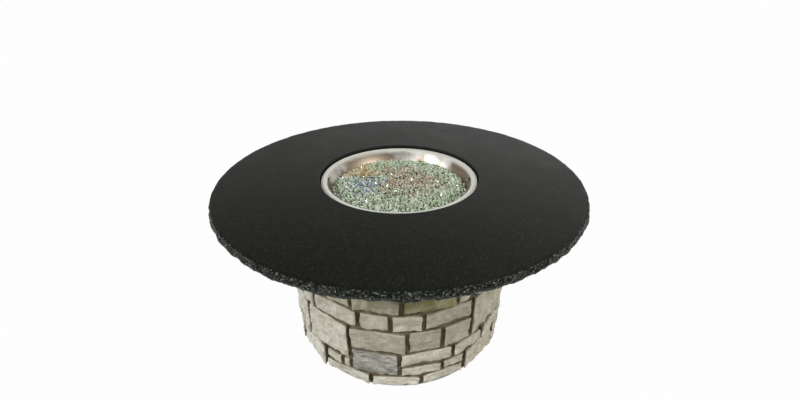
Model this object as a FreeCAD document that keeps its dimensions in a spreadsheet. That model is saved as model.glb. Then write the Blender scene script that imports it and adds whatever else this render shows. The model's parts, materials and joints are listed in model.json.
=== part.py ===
import FreeCAD, Part
import math
import os
import random
import Sketcher

# Round fire pit table: a granite slab on a stone-clad steel drum, with a drop-in gas burner.
# Millimetres, +Z up, origin on the floor at the centre of the drum.
# The seating side that is seen first faces -Y, the access door faces +Y.
# Angles round the drum are in degrees from the -Y side, positive towards +X.

doc = FreeCAD.newDocument("FirePitTable")
sheet = doc.addObject("Spreadsheet::Sheet", "Sizes")

SIZES = (
    # Granite slab
    ("top_height", 610),
    ("slab_thickness", 30),
    ("slab_diameter", 1219),
    ("slab_edge_bulge", 7),
    ("slab_edge_foot", 2),
    ("opening_diameter", 547),
    ("opening_ease", 1.5),
    # Stone cladding, bottom course first
    ("stone_face_diameter", 784),
    ("stone_depth", 30),
    ("stone_roughness", 2.5),
    ("stone_chamfer", 3),
    ("head_joint", 12),
    ("bed_joint", 10),
    ("ground_gap", 12),
    ("top_joint", 12),
    ("course_height_1", 40),
    ("course_height_2", 35),
    ("course_height_3", 50),
    ("course_height_4", 84),
    ("course_height_5", 61),
    ("course_height_6", 68),
    ("course_height_7", 70),
    ("mortar_recess", 11),
    ("mortar_behind", 10),
    # Cement backer board and the steel frame behind it
    ("backer_thickness", 12),
    ("backer_gap", 3),
    ("ring_thickness", 3),
    ("ring_leg", 40),
    ("bottom_ring_inner_diameter", 600),
    ("top_ring_inner_diameter", 512),
    ("pad_height", 10),
    ("pad_diameter", 50),
    ("stud_width", 40),
    ("stud_depth", 30),
    ("stud_wall", 1.5),
    ("stud_clearance", 1),
    ("stud_angle_1", 20),
    ("stud_angle_2", 62),
    ("stud_angle_3", 110),
    ("stud_angle_4", 145),
    # Access door, its frame and the control panel above it
    ("door_frame_width", 330),
    ("door_frame_depth", 72),
    ("door_face_offset", 362),
    ("door_sheet", 2),
    ("door_window_width", 280),
    ("door_window_margin", 25),
    ("leaf_panel_gap", 6.25),
    ("panel_window_height", 54),
    ("panel_window_margin", 18),
    ("lap", 12),
    ("door_thickness", 3),
    ("door_gap", 0.5),
    ("door_slot_length", 180),
    ("door_slot_height", 6),
    ("door_slot_pitch", 16),
    ("slot_corner", 2.4),
    ("barrel_radius", 5),
    ("barrel_length", 24),
    ("barrel_edge_gap", 1),
    ("barrel_spacing", 190),
    ("pin_radius", 3),
    ("running_clearance", 0.05),
    ("leaf_length", 22),
    ("leaf_thickness", 2),
    ("pull_radius", 13),
    ("pull_reach", 24),
    ("pull_foot_radius", 8),
    ("pull_neck_radius", 5),
    ("pull_neck_start", 7),
    ("pull_head_radius", 6),
    ("pull_head_start", 13),
    ("pull_rim_start", 17),
    ("pull_crown_depth", 3),
    ("pull_crown_inset", 2.5),
    ("pull_inset", 24),
    ("catch_width", 26),
    ("catch_height", 18),
    ("catch_depth", 20),
    ("strike_thickness", 2.4),
    ("strike_gap", 0.3),
    # Gas controls on the panel
    ("control_spread", 70),
    ("valve_width", 36),
    ("valve_depth", 50),
    ("valve_height", 32),
    ("valve_boss_radius", 14),
    ("valve_boss_length", 7),
    ("valve_floor", 12.5),
    ("stem_radius", 5),
    ("moving_clearance", 0.3),
    ("stem_hole_clearance", 1),
    ("travel_spare", 1),
    ("plunger_length", 8),
    ("knob_radius", 23),
    ("knob_depth", 20),
    ("knob_foot_radius", 20.7),
    ("knob_skirt_start", 2.4),
    ("knob_skirt_end", 6),
    ("knob_skirt_radius", 22),
    ("knob_waist_radius", 16),
    ("knob_waist_height", 8.4),
    ("knob_crown_radius", 14.3),
    ("grip_width", 8.4),
    ("grip_length", 42.4),
    ("grip_height", 11),
    ("knob_travel", 3),
    ("button_radius", 8.3),
    ("button_travel", 4),
    ("button_length", 20),
    ("button_chamfer", 1),
    ("igniter_radius", 11),
    ("igniter_bezel_radius", 15),
    ("igniter_bezel_depth", 3),
    ("igniter_length", 62),
    ("igniter_nut_flats", 28.8),
    ("igniter_nut_height", 4),
    ("spring_wire", 0.8),
    ("spring_turns", 5),
    # Air vents in the two sides
    ("vent_width", 150),
    ("vent_face_offset", 389),
    ("vent_sheet", 1.5),
    ("vent_slot_height", 8),
    ("vent_slot_pitch", 22),
    ("vent_slot_margin", 16),
    # Burner pan
    ("pan_rim_diameter", 536),
    ("pan_rim_drop", 11),
    ("pan_flange_width", 18),
    ("pan_sheet", 1.5),
    ("pan_depth", 92),
    ("pan_floor_diameter", 300),
    ("pan_wall_bulge", 20),
    ("lift_slot_length", 30),
    ("lift_slot_height", 6),
    ("lift_slot_drop", 14),
    ("drain_hole_diameter", 8),
    ("drain_circle_diameter", 160),
    # Burner and the pipe below it
    ("burner_ring_diameter", 250),
    ("burner_tube_radius", 9),
    ("burner_lift", 18),
    ("burner_port_radius", 1.2),
    ("hub_radius", 16),
    ("hub_length", 30),
    ("pipe_radius", 10.65),
    ("pipe_bore_radius", 7.9),
    ("spigot_length", 30),
    ("nut_flats", 32),
    ("nut_height", 8),
    ("mixer_radius", 14),
    ("mixer_length", 62),
    ("mixer_hole_radius", 4),
    ("mixer_hole_height", 26),
    ("elbow_radius", 10),
    ("elbow_drop", 24),
    ("elbow_gap", 4),
    # Pilot bracket, spark electrode and flame sensor
    ("pilot_offset", 46),
    ("pilot_pitch", 16),
    ("bracket_length", 44),
    ("bracket_width", 18),
    ("bracket_thickness", 2),
    ("ceramic_radius", 4),
    ("ceramic_length", 52),
    ("ceramic_below", 14),
    ("tip_radius", 1),
    ("tip_length", 24),
    ("sensor_radius", 3),
    ("sensor_length", 68),
    # Fire glass
    ("glass_edge_drop", 33),
    ("glass_dome", 5),
    ("glass_mound_pitch", 62),
    ("glass_mound_radius", 34),
    ("glass_mound_height", 7),
    ("glass_chip_pitch", 20),
    ("glass_chip_relief", 6.5),
    ("glass_chip_rise", 1.5),
    ("glass_clearance", 0.3),
    # Gas inlet through the wall
    ("inlet_height", 79.5),
    ("inlet_reach", 26),
    ("thread_radius", 10.4),
    ("thread_length", 18),
    ("inlet_inner_end", 262),
    ("inlet_hole_radius", 13),
    ("shutoff_radius", 16),
    ("shutoff_length", 44),
    ("shutoff_neck_radius", 9),
    ("shutoff_neck_height", 6.5),
    ("lever_length", 62),
    ("lever_width", 14),
    ("lever_thickness", 3),
    ("lever_stem_radius", 5),
    ("lever_stem_height", 26),
    ("hose_radius", 8),
    ("hose_bore_radius", 5.5),
    ("lead_radius", 2.5),
    ("capillary_radius", 1.5),
    ("flare_nut_flats", 22),
    ("flare_nut_height", 16),
    # Small fasteners
    ("screw_head_radius", 4),
    ("screw_head_height", 2),
    ("screw_shank_radius", 2),
    ("screw_shank_length", 6),
    ("screw_inset", 7),
)

for row, (name, value) in enumerate(SIZES, start=1):
    sheet.set("A%d" % row, name)
    sheet.set("B%d" % row, str(value))
    sheet.setAlias("B%d" % row, name)
doc.recompute()


class Size:
    """A length or angle of the sheet, or a formula of them, with its text for an expression."""

    def __init__(self, value, text):
        self.value = float(value)
        self.text = text

    def __float__(self):
        return self.value

    def __add__(self, other):
        other = as_size(other)
        return Size(self.value + other.value, "(%s + %s)" % (self.text, other.text))

    def __sub__(self, other):
        other = as_size(other)
        return Size(self.value - other.value, "(%s - %s)" % (self.text, other.text))

    def __mul__(self, other):
        other = as_size(other)
        return Size(self.value * other.value, "(%s * %s)" % (self.text, other.text))

    def __truediv__(self, other):
        other = as_size(other)
        return Size(self.value / other.value, "(%s / %s)" % (self.text, other.text))

    def __neg__(self):
        return Size(-self.value, "(0 - %s)" % self.text)

    def __radd__(self, other):
        return as_size(other) + self

    def __rsub__(self, other):
        return as_size(other) - self

    def __rmul__(self, other):
        return as_size(other) * self


def as_size(number):
    if isinstance(number, Size):
        return number
    return Size(number, repr(float(number)))


def root_of(size):
    return Size(math.sqrt(size.value), "sqrt(%s)" % size.text)


class Sheet:
    """Every size of the sheet under its own name."""


given = Sheet()
for name, value in SIZES:
    setattr(given, name, Size(sheet.get(name), "Sizes.%s" % name))

nodes = []


def keep(item, label):
    """Name a finished sub-part, so that it is written to a file of that name."""
    item.Label = label
    nodes.append(item)
    return item


def bind(item, **sizes):
    for prop, size in sizes.items():
        item.setExpression(prop, as_size(size).text)


def place(item, x=0, y=0, z=0, turn=None):
    """Put a primitive at x, y, z; turn is an optional rotation that is kept with it."""
    if turn is not None:
        item.Placement = FreeCAD.Placement(FreeCAD.Vector(), turn)
    item.setExpression("Placement.Base.x", as_size(x).text)
    item.setExpression("Placement.Base.y", as_size(y).text)
    item.setExpression("Placement.Base.z", as_size(z).text)
    return item


ALONG = {
    "+X": FreeCAD.Rotation(FreeCAD.Vector(0, 1, 0), 90),
    "-X": FreeCAD.Rotation(FreeCAD.Vector(0, 1, 0), -90),
    "+Y": FreeCAD.Rotation(FreeCAD.Vector(1, 0, 0), -90),
    "-Y": FreeCAD.Rotation(FreeCAD.Vector(1, 0, 0), 90),
    "+Z": FreeCAD.Rotation(),
    "-Z": FreeCAD.Rotation(FreeCAD.Vector(1, 0, 0), 180),
}


def block(name, length, width, height, x, y, z):
    """A box with its low corner at x, y, z."""
    item = doc.addObject("Part::Box", name)
    bind(item, Length=length, Width=width, Height=height)
    return place(item, x, y, z)


def rod(name, radius, length, x, y, z, along="+Z"):
    item = doc.addObject("Part::Cylinder", name)
    bind(item, Radius=radius, Height=length)
    return place(item, x, y, z, ALONG[along])


def hexagon(name, flats, length, x, y, z, along="+Z"):
    item = doc.addObject("Part::Prism", name)
    item.Polygon = 6
    bind(item, Circumradius=flats / math.sqrt(3), Height=length)
    return place(item, x, y, z, ALONG[along])


def fuse(name, pieces):
    item = doc.addObject("Part::MultiFuse", name)
    item.Shapes = pieces
    return item


def cut(name, base, tools):
    item = doc.addObject("Part::Cut", name)
    item.Base = base
    item.Tool = tools[0] if len(tools) == 1 else fuse(name + "Tools", tools)
    return item


def group(name, pieces):
    """Several separate solids in one sub-part."""
    item = doc.addObject("Part::Compound", name)
    item.Links = pieces
    return item


def body_with_sketch(name, plane):
    body = doc.addObject("PartDesign::Body", name)
    return body, sketch_on(body, plane, name + "Outline")


def sketch_on(body, plane, name):
    sketch = body.newObject("Sketcher::SketchObject", name)
    support = [item for item in body.Origin.OriginFeatures if item.Role == plane][0]
    sketch.AttachmentSupport = [(support, "")]
    sketch.MapMode = "FlatFace"
    return sketch


def pin_point(sketch, edge, end, point):
    """Tie one end of an edge to its two distances from the origin."""
    for kind, size in (("DistanceX", point[0]), ("DistanceY", point[1])):
        size = as_size(size)
        number = sketch.addConstraint(Sketcher.Constraint(kind, -1, 1, edge, end, size.value))
        sketch.setExpression("Constraints[%d]" % number, size.text)


def draw(sketch, outline):
    """Draw a closed outline of (across, up) corners.

    A third value in a corner is the radius of the arc to the next corner: it bulges to the right
    of the way the outline runs when it is positive, and to the left when it is negative.
    """
    corners = [corner[:2] for corner in outline]
    for number, corner in enumerate(outline):
        start = FreeCAD.Vector(float(corner[0]), float(corner[1]), 0)
        after = corners[(number + 1) % len(corners)]
        end = FreeCAD.Vector(float(after[0]), float(after[1]), 0)
        if len(corner) == 2:
            edge = sketch.addGeometry(Part.LineSegment(start, end))
            start_end = 1
        else:
            radius = as_size(corner[2])
            edge = sketch.addGeometry(arc_between(start, end, radius.value))
            start_end = 1 if radius.value > 0 else 2
            size = sketch.addConstraint(Sketcher.Constraint("Radius", edge, abs(radius.value)))
            formula = radius if radius.value > 0 else -radius
            sketch.setExpression("Constraints[%d]" % size, formula.text)
        pin_point(sketch, edge, start_end, corner[:2])
        pin_point(sketch, edge, 3 - start_end, after)


def arc_between(start, end, radius):
    chord = end - start
    middle = (start + end) * 0.5
    left = FreeCAD.Vector(-chord.y, chord.x, 0).normalize()
    rise = math.sqrt(radius * radius - chord.Length * chord.Length / 4)
    centre = middle + left * math.copysign(rise, radius)
    if radius < 0:
        start, end = end, start
    first = math.atan2(start.y - centre.y, start.x - centre.x)
    last = math.atan2(end.y - centre.y, end.x - centre.x)
    circle = Part.Circle(centre, FreeCAD.Vector(0, 0, 1), abs(radius))
    return Part.ArcOfCircle(circle, first, last)


def lathe(name, outline, angle=360):
    """A body turned about the Z axis from an outline of (radius, height) corners."""
    body, sketch = body_with_sketch(name, "XZ_Plane")
    draw(sketch, outline)
    turned = body.newObject("PartDesign::Revolution", name + "Turned")
    turned.Profile = sketch
    turned.ReferenceAxis = (sketch, ["V_Axis"])
    bind(turned, Angle=angle)
    sketch.Visibility = False
    return body


def plate(name, plane, outline, thickness):
    """A body padded from an outline drawn on one of its origin planes."""
    body, sketch = body_with_sketch(name, plane)
    draw(sketch, outline)
    pad = body.newObject("PartDesign::Pad", name + "Pad")
    pad.Profile = sketch
    bind(pad, Length=thickness)
    return body


def rectangle(left, low, right, high):
    return [(left, low), (right, low), (right, high), (left, high)]


def rounded(left, low, right, high, radius):
    """A rectangle with round corners, as an outline for draw."""
    return [
        (left + radius, low),
        (right - radius, low, radius),
        (right, low + radius),
        (right, high - radius, radius),
        (right - radius, high),
        (left + radius, high, radius),
        (left, high - radius),
        (left, low + radius, radius),
    ]


def at_angle(body, degrees):
    """Turn a body that was modelled on the -Y side round the drum."""
    body.Placement = FreeCAD.Placement(FreeCAD.Vector(), FreeCAD.Rotation(FreeCAD.Vector(0, 0, 1), 0))
    body.setExpression("Placement.Rotation.Angle", as_size(degrees).text)
    return body


# Radii and heights that several pieces share
slab_under = given.top_height - given.slab_thickness
slab_radius = given.slab_diameter / 2
opening_radius = given.opening_diameter / 2
stone_face = given.stone_face_diameter / 2
stone_back = stone_face - given.stone_depth
mortar_face = stone_face - given.mortar_recess
board_outer = stone_back - given.mortar_behind
board_inner = board_outer - given.backer_thickness
ring_top = slab_under - given.ring_thickness
ring_seat = given.pad_height + given.ring_thickness

COURSES = 8
fixed_heights = [getattr(given, "course_height_%d" % number) for number in range(1, COURSES)]
course_low = [given.ground_gap]
for height in fixed_heights:
    course_low.append(course_low[-1] + height + given.bed_joint)
course_high = [low + height for low, height in zip(course_low, fixed_heights)]
course_high.append(slab_under - given.top_joint)


def opening_heights(first, last):
    """The low and high edge of a wall opening, each in the middle of a bed joint."""
    return course_low[first - 1] - given.bed_joint / 2, course_high[last - 1] + given.bed_joint / 2


door_low, door_high = opening_heights(3, 7)
vent_low, vent_high = opening_heights(3, 4)
door_half = given.door_frame_width / 2
door_back = given.door_face_offset - given.door_frame_depth
vent_half = given.vent_width / 2

# Granite slab: turned, with the rock-pitched edge as one bulging arc and an eased opening
edge_radius = (
    given.slab_thickness * given.slab_thickness / 4 + given.slab_edge_bulge * given.slab_edge_bulge
) / (2 * given.slab_edge_bulge)
granite = lathe(
    "GraniteTop",
    [
        (opening_radius, slab_under),
        (slab_radius + given.slab_edge_foot, slab_under, edge_radius),
        (slab_radius, given.top_height),
        (opening_radius + given.opening_ease, given.top_height),
        (opening_radius, given.top_height - given.opening_ease),
    ],
)
keep(granite, "granite_top")

# Top ring: rolled steel angle under the slab, which also carries the burner pan's skirt
top_ring = lathe(
    "TopRing",
    [
        (given.top_ring_inner_diameter / 2, ring_top),
        (board_inner - given.ring_thickness, ring_top),
        (board_inner - given.ring_thickness, ring_top - given.ring_leg),
        (board_inner, ring_top - given.ring_leg),
        (board_inner, ring_top),
        (board_outer, ring_top),
        (board_outer, slab_under),
        (given.top_ring_inner_diameter / 2, slab_under),
    ],
)
keep(top_ring, "top_ring")

# Bottom ring: the same angle the other way up, standing on rubber pads
bottom_ring = lathe(
    "BottomRing",
    [
        (given.bottom_ring_inner_diameter / 2, given.pad_height),
        (board_outer, given.pad_height),
        (board_outer, ring_seat),
        (board_inner, ring_seat),
        (board_inner, ring_seat + given.ring_leg),
        (board_inner - given.ring_thickness, ring_seat + given.ring_leg),
        (board_inner - given.ring_thickness, ring_seat),
        (given.bottom_ring_inner_diameter / 2, ring_seat),
    ],
)
keep(bottom_ring, "bottom_ring")

# Rubber pads under the middle of the bottom ring's width
PADS = 8
pad_circle = (given.bottom_ring_inner_diameter / 2 + board_outer) / 2
pads = []
for number in range(PADS):
    angle = math.radians(360 / PADS * (number + 0.5))
    pads.append(
        rod(
            "Pad%d" % (number + 1),
            given.pad_diameter / 2,
            given.pad_height,
            pad_circle * math.sin(angle),
            -pad_circle * math.cos(angle),
            0,
        )
    )
keep(group("Pads", pads), "foot_pads")

# Studs: folded steel channels between the two rings, open towards the middle
stud_face = board_inner - given.ring_thickness - given.stud_clearance
stud_outline = [
    (-given.stud_width / 2, -stud_face),
    (given.stud_width / 2, -stud_face),
    (given.stud_width / 2, given.stud_depth - stud_face),
    (given.stud_width / 2 - given.stud_wall, given.stud_depth - stud_face),
    (given.stud_width / 2 - given.stud_wall, given.stud_wall - stud_face),
    (given.stud_wall - given.stud_width / 2, given.stud_wall - stud_face),
    (given.stud_wall - given.stud_width / 2, given.stud_depth - stud_face),
    (-given.stud_width / 2, given.stud_depth - stud_face),
]
stud_angles = [given.stud_angle_1, given.stud_angle_2, given.stud_angle_3, given.stud_angle_4]
STUD_PLACES = ("front", "front_side", "rear_side", "door")
for position, angle in zip(STUD_PLACES, stud_angles):
    pair = []
    for side, turned in (("right", angle), ("left", 360 - angle)):
        stud = plate("Stud_%s_%s" % (position, side), "XY_Plane", stud_outline, ring_top - ring_seat)
        at_angle(stud, turned)
        bind(stud, **{"Placement.Base.z": ring_seat})
        pair.append(stud)
    keep(group("Studs_%s" % position, pair), "studs_%s" % position)

# Cement backer boards: four curved panels, cut out for the door and the vents.
# BOARD_JOINT is the angle at which a front panel meets a rear one.
BOARD_JOINT = 70
door_void = block(
    "DoorVoid",
    given.door_frame_width,
    2 * given.door_frame_depth,
    door_high - door_low,
    -door_half,
    door_back,
    door_low,
)
vent_void = block(
    "VentVoid",
    given.stone_face_diameter,
    given.vent_width,
    vent_high - vent_low,
    -stone_face,
    -vent_half,
    vent_low,
)
inlet_void = rod(
    "InletVoid", given.inlet_hole_radius, stone_face, 0, board_inner / 2, given.inlet_height, "+Y"
)
board_gap_angle = given.backer_gap / board_outer * 180 / math.pi
board_outline = [
    (board_inner, ring_seat),
    (board_outer, ring_seat),
    (board_outer, ring_top),
    (board_inner, ring_top),
]
BOARDS = (
    ("front_right", 0, BOARD_JOINT, []),
    ("rear_right", BOARD_JOINT, 180, [door_void, vent_void, inlet_void]),
    ("rear_left", 180, 360 - BOARD_JOINT, [door_void, vent_void, inlet_void]),
    ("front_left", 360 - BOARD_JOINT, 360, []),
)
for position, first, last, voids in BOARDS:
    board = lathe("Board_%s" % position, board_outline, last - first - board_gap_angle)
    at_angle(board, first - 90 + board_gap_angle / 2)
    if voids:
        board = cut("Board_%s_cut" % position, board, voids)
    keep(board, "backer_board_%s" % position)

# Stones: flat-faced blocks with parallel joints, each a solid of its own.
# A stone is (first course, last course, angle where it begins, angle where it ends).
door_edge = 180 - math.degrees(math.asin(door_half.value / stone_face.value))
vent_edge = 90 - math.degrees(math.asin((vent_half.value + given.head_joint.value / 2) / stone_back.value))
FRONT_STONES = [
    (1, 2, -63, -40),
    (1, 1, -40, -14),
    (1, 1, -14, 10.5),
    (1, 1, 10.5, 34),
    (1, 2, 34, 58),
    (2, 2, -40, -29),
    (2, 2, -29, -24),
    (2, 3, -24, 0),
    (2, 2, 0, 21),
    (2, 2, 21, 34),
    (3, 4, -vent_edge, -51),
    (3, 4, -51, -24),
    (3, 3, 0, 26.5),
    (3, 3, 26.5, 45.5),
    (3, 3, 45.5, 63),
    (4, 4, -24, 3.5),
    (4, 4, 3.5, 20.5),
    (4, 4, 20.5, 36.5),
    (4, 5, 36.5, 63),
    (5, 5, -68, -44),
    (5, 5, -44, -19),
    (5, 5, -19, -4),
    (5, 5, -4, 11),
    (5, 5, 11, 36.5),
    (5, 5, 63, 70),
    (6, 6, -68, -53),
    (6, 6, -53, -36),
    (6, 6, -36, -22),
    (6, 6, -22, 1),
    (6, 6, 1, 27),
    (6, 6, 27, 46),
    (6, 6, 46, 70),
]

# The rest of the ashlar is laid in blocks two courses high: a width in millimetres, then the
# joints in the lower and in the upper course as shares of that width. A single stone has none.
ASHLAR_BLOCKS = (
    (122, None, None),
    (246, (0.44,), (0.63,)),
    (168, (), (0.46,)),
    (262, (0.3, 0.66), (0.52,)),
    (134, None, None),
    (188, (0.58,), ()),
)
PLAIN_WIDTHS = (150, 108, 186, 124, 164, 96, 172)


def spread(widths, first_width, begin, end):
    """Angles that divide begin to end into stones of about these widths, taken in turn."""
    span = math.radians(end - begin) * stone_face.value
    chosen = []
    number = first_width
    while not chosen or sum(chosen) + widths[number % len(widths)] / 2 < span:
        chosen.append(widths[number % len(widths)])
        number += 1
    angles = [begin]
    for width in chosen:
        angles.append(angles[-1] + (end - begin) * width / sum(chosen))
    return angles, number


def ashlar(lower, begin, end, first_block):
    """Stones two courses high between two angles, from the blocks in turn."""
    widths = [item[0] for item in ASHLAR_BLOCKS]
    angles, after = spread(widths, first_block, begin, end)
    stones = []
    for number, (left, right) in enumerate(zip(angles, angles[1:])):
        joints = ASHLAR_BLOCKS[(first_block + number) % len(ASHLAR_BLOCKS)][1:]
        if joints[0] is None:
            stones.append((lower, lower + 1, left, right))
            continue
        for course, shares in zip((lower, lower + 1), joints):
            edges = [left] + [left + (right - left) * share for share in shares] + [right]
            stones += [(course, course, low, high) for low, high in zip(edges, edges[1:])]
    return stones


def plain(course, begin, end, first_width):
    """One course of single stones between two angles."""
    angles = spread(PLAIN_WIDTHS, first_width, begin, end)[0]
    return [(course, course, low, high) for low, high in zip(angles, angles[1:])]


stones = list(FRONT_STONES)
stones += ashlar(1, 58, 297, 1)
stones += ashlar(3, 63, vent_edge, 0)
stones += ashlar(3, 180 - vent_edge, door_edge, 2)
stones += ashlar(3, 360 - door_edge, 180 + vent_edge, 5)
stones += ashlar(5, 70, door_edge, 4)
stones += ashlar(5, 360 - door_edge, 292, 1)
stones += plain(7, -door_edge, door_edge, 2)
stones += plain(8, 8, 368, 4)

rough = random.Random(12)


def stone_solid(first, last, begin, end):
    """A block with a flat split face, its face set so that it lies on the drum's mean radius."""
    half = math.radians(end - begin) / 2
    slant = math.tan(half)
    face = stone_face.value * (1 + math.cos(half)) / 2
    face += rough.uniform(-1, 1) * given.stone_roughness.value
    back = stone_back.value
    side = given.head_joint.value / 2
    low = course_low[first - 1].value
    high = course_high[last - 1].value
    plan = [
        FreeCAD.Vector(side - back * slant, -back, low),
        FreeCAD.Vector(side - face * slant, -face, low),
        FreeCAD.Vector(face * slant - side, -face, low),
        FreeCAD.Vector(back * slant - side, -back, low),
    ]
    solid = Part.Face(Part.makePolygon(plan + plan[:1])).extrude(FreeCAD.Vector(0, 0, high - low))
    front_edges = [
        edge
        for edge in solid.Edges
        if all(abs(corner.Y + face) < 0.001 for corner in edge.Vertexes)
    ]
    solid = solid.makeChamfer(given.stone_chamfer.value, front_edges)
    solid.rotate(FreeCAD.Vector(), FreeCAD.Vector(0, 0, 1), (begin + end) / 2)
    return solid


doc.recompute()
wall_voids = [door_void.Shape, vent_void.Shape, inlet_void.Shape]


def trimmed(solid):
    """A stone cut back where it would reach into an opening of the wall."""
    for void in wall_voids:
        if solid.BoundBox.intersect(void.BoundBox):
            solid = solid.cut(void)
    return solid.Solids[0]


laid = {course: [] for course in range(1, COURSES + 1)}
for first, last, begin, end in stones:
    laid[first].append(trimmed(stone_solid(first, last, begin, end)))
for course, solids in laid.items():
    item = doc.addObject("Part::Feature", "StoneCourse%d" % course)
    item.Shape = Part.makeCompound(solids)
    keep(item, "stone_course_%d" % course)

# Door frame: a welded sheet steel sleeve through the wall with a front plate of two windows
window_half = given.door_window_width / 2
panel_window_high = door_high - given.panel_window_margin
panel_window_low = panel_window_high - given.panel_window_height
door_window_low = door_low + given.door_window_margin
door_window_high = panel_window_low - 2 * given.lap - given.leaf_panel_gap
plate_back = given.door_face_offset - given.door_sheet
frame_block = block(
    "FrameBlock",
    given.door_frame_width,
    given.door_frame_depth,
    door_high - door_low,
    -door_half,
    door_back,
    door_low,
)
frame_hollow = block(
    "FrameHollow",
    given.door_frame_width - 2 * given.door_sheet,
    given.door_frame_depth - given.door_sheet,
    door_high - door_low - 2 * given.door_sheet,
    given.door_sheet - door_half,
    door_back,
    door_low + given.door_sheet,
)
door_window = block(
    "DoorWindow",
    given.door_window_width,
    given.door_frame_depth,
    door_window_high - door_window_low,
    -window_half,
    plate_back - given.door_sheet,
    door_window_low,
)
panel_window = block(
    "PanelWindow",
    given.door_window_width,
    given.door_frame_depth,
    given.panel_window_height,
    -window_half,
    plate_back - given.door_sheet,
    panel_window_low,
)
door_frame = cut("DoorFrame", frame_block, [frame_hollow, door_window, panel_window])
keep(door_frame, "door_frame")

# Access door: sheet steel with a row of air slots, padded away from the frame plate
door_back_face = given.door_face_offset + given.door_gap
door_front_face = door_back_face + given.door_thickness
leaf_half = window_half + given.lap
leaf_low = door_window_low - given.lap
leaf_high = door_window_high + given.lap
door_outline = rectangle(-leaf_half, leaf_low, leaf_half, leaf_high)
door = plate("AccessDoor", "XZ_Plane", door_outline, given.door_thickness)
slot_sketch = sketch_on(door, "XZ_Plane", "AccessDoorSlot")
first_slot = leaf_low + 3 * given.door_slot_pitch
slot_half = given.door_slot_length / 2
draw(
    slot_sketch,
    rounded(-slot_half, first_slot, slot_half, first_slot + given.door_slot_height, given.slot_corner),
)
slot = door.newObject("PartDesign::Pocket", "AccessDoorSlotCut")
slot.Profile = slot_sketch
slot.Type = "ThroughAll"
slot.Midplane = True
DOOR_SLOTS = 6
slots = door.newObject("PartDesign::LinearPattern", "AccessDoorSlots")
slots.Originals = [slot]
slots.Direction = (slot_sketch, ["V_Axis"])
bind(slots, Length=(DOOR_SLOTS - 1) * given.door_slot_pitch)
slots.Occurrences = DOOR_SLOTS
door.Tip = slots
place(door, 0, door_front_face, 0)
keep(door, "access_door")

# Barrel hinges: a lower half welded to the frame plate, an upper half to the door, and a pin
hinge_x = -leaf_half - given.barrel_edge_gap - given.barrel_radius
hinge_y = given.door_face_offset + given.barrel_radius
hinge_middle = (leaf_low + leaf_high) / 2
frame_halves = []
door_halves = []
pins = []
for name, sign in (("Lower", -1), ("Upper", 1)):
    split = hinge_middle + sign * given.barrel_spacing / 2
    low_barrel = rod(
        name + "FrameBarrel",
        given.barrel_radius,
        given.barrel_length,
        hinge_x,
        hinge_y,
        split - given.barrel_length,
    )
    low_leaf = block(
        name + "FrameLeaf",
        given.barrel_radius,
        given.leaf_thickness,
        given.barrel_length,
        hinge_x - given.barrel_radius / 2,
        given.door_face_offset,
        split - given.barrel_length,
    )
    low_bore = rod(
        name + "FrameBore",
        given.pin_radius + given.running_clearance,
        given.barrel_length * 2,
        hinge_x,
        hinge_y,
        split - given.barrel_length * 1.5,
    )
    low_half = fuse(name + "FrameSolid", [low_barrel, low_leaf])
    frame_halves.append(cut(name + "FrameHalf", low_half, [low_bore]))
    high_barrel = rod(
        name + "DoorBarrel",
        given.barrel_radius,
        given.barrel_length,
        hinge_x,
        hinge_y,
        split + given.door_gap,
    )
    high_leaf = block(
        name + "DoorLeaf",
        given.leaf_length,
        given.leaf_thickness,
        given.barrel_length,
        hinge_x,
        door_front_face,
        split + given.door_gap,
    )
    high_bore = rod(
        name + "DoorBore",
        given.pin_radius + given.running_clearance,
        given.barrel_length * 2,
        hinge_x,
        hinge_y,
        split - given.barrel_length / 2,
    )
    high_half = fuse(name + "DoorSolid", [high_barrel, high_leaf])
    door_halves.append(cut(name + "DoorHalf", high_half, [high_bore]))
    pins.append(
        rod(
            name + "Pin",
            given.pin_radius,
            given.barrel_length * 2 - given.pin_radius,
            hinge_x,
            hinge_y,
            split - given.barrel_length + given.pin_radius / 2,
        )
    )
keep(group("HingeFrameHalves", frame_halves), "hinge_frame_halves")
keep(group("HingeDoorHalves", door_halves), "hinge_door_halves")
keep(group("HingePins", pins), "hinge_pins")

# Pull: a turned knob on the free side of the door
pull = lathe(
    "DoorPull",
    [
        (0, 0),
        (given.pull_foot_radius, 0),
        (given.pull_neck_radius, given.pull_neck_start),
        (given.pull_head_radius, given.pull_head_start),
        (given.pull_radius, given.pull_rim_start),
        (given.pull_radius, given.pull_reach - given.pull_crown_depth),
        (given.pull_radius - given.pull_crown_inset, given.pull_reach),
        (0, given.pull_reach),
    ],
)
place(pull, leaf_half - given.pull_inset, door_front_face, hinge_middle, ALONG["+Y"])
keep(pull, "door_pull")

# Magnetic catch: a magnet block on the frame's cheek and a steel strike on the door
catch_front = door_back_face - given.strike_thickness - given.strike_gap
catch_x = window_half - given.catch_width - given.door_sheet
catch_body = block(
    "CatchBody",
    given.catch_width,
    given.catch_depth,
    given.catch_height,
    catch_x,
    catch_front - given.catch_depth,
    hinge_middle - given.catch_height / 2,
)
catch_arm = block(
    "CatchArm",
    door_half - given.door_sheet - catch_x,
    given.catch_depth / 2,
    given.catch_height,
    catch_x,
    catch_front - given.catch_depth,
    hinge_middle - given.catch_height / 2,
)
keep(fuse("Catch", [catch_body, catch_arm]), "magnetic_catch")
strike = block(
    "Strike",
    given.catch_width,
    given.strike_thickness,
    given.catch_height,
    catch_x,
    door_back_face - given.strike_thickness,
    hinge_middle - given.catch_height / 2,
)
keep(strike, "catch_strike")

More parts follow.
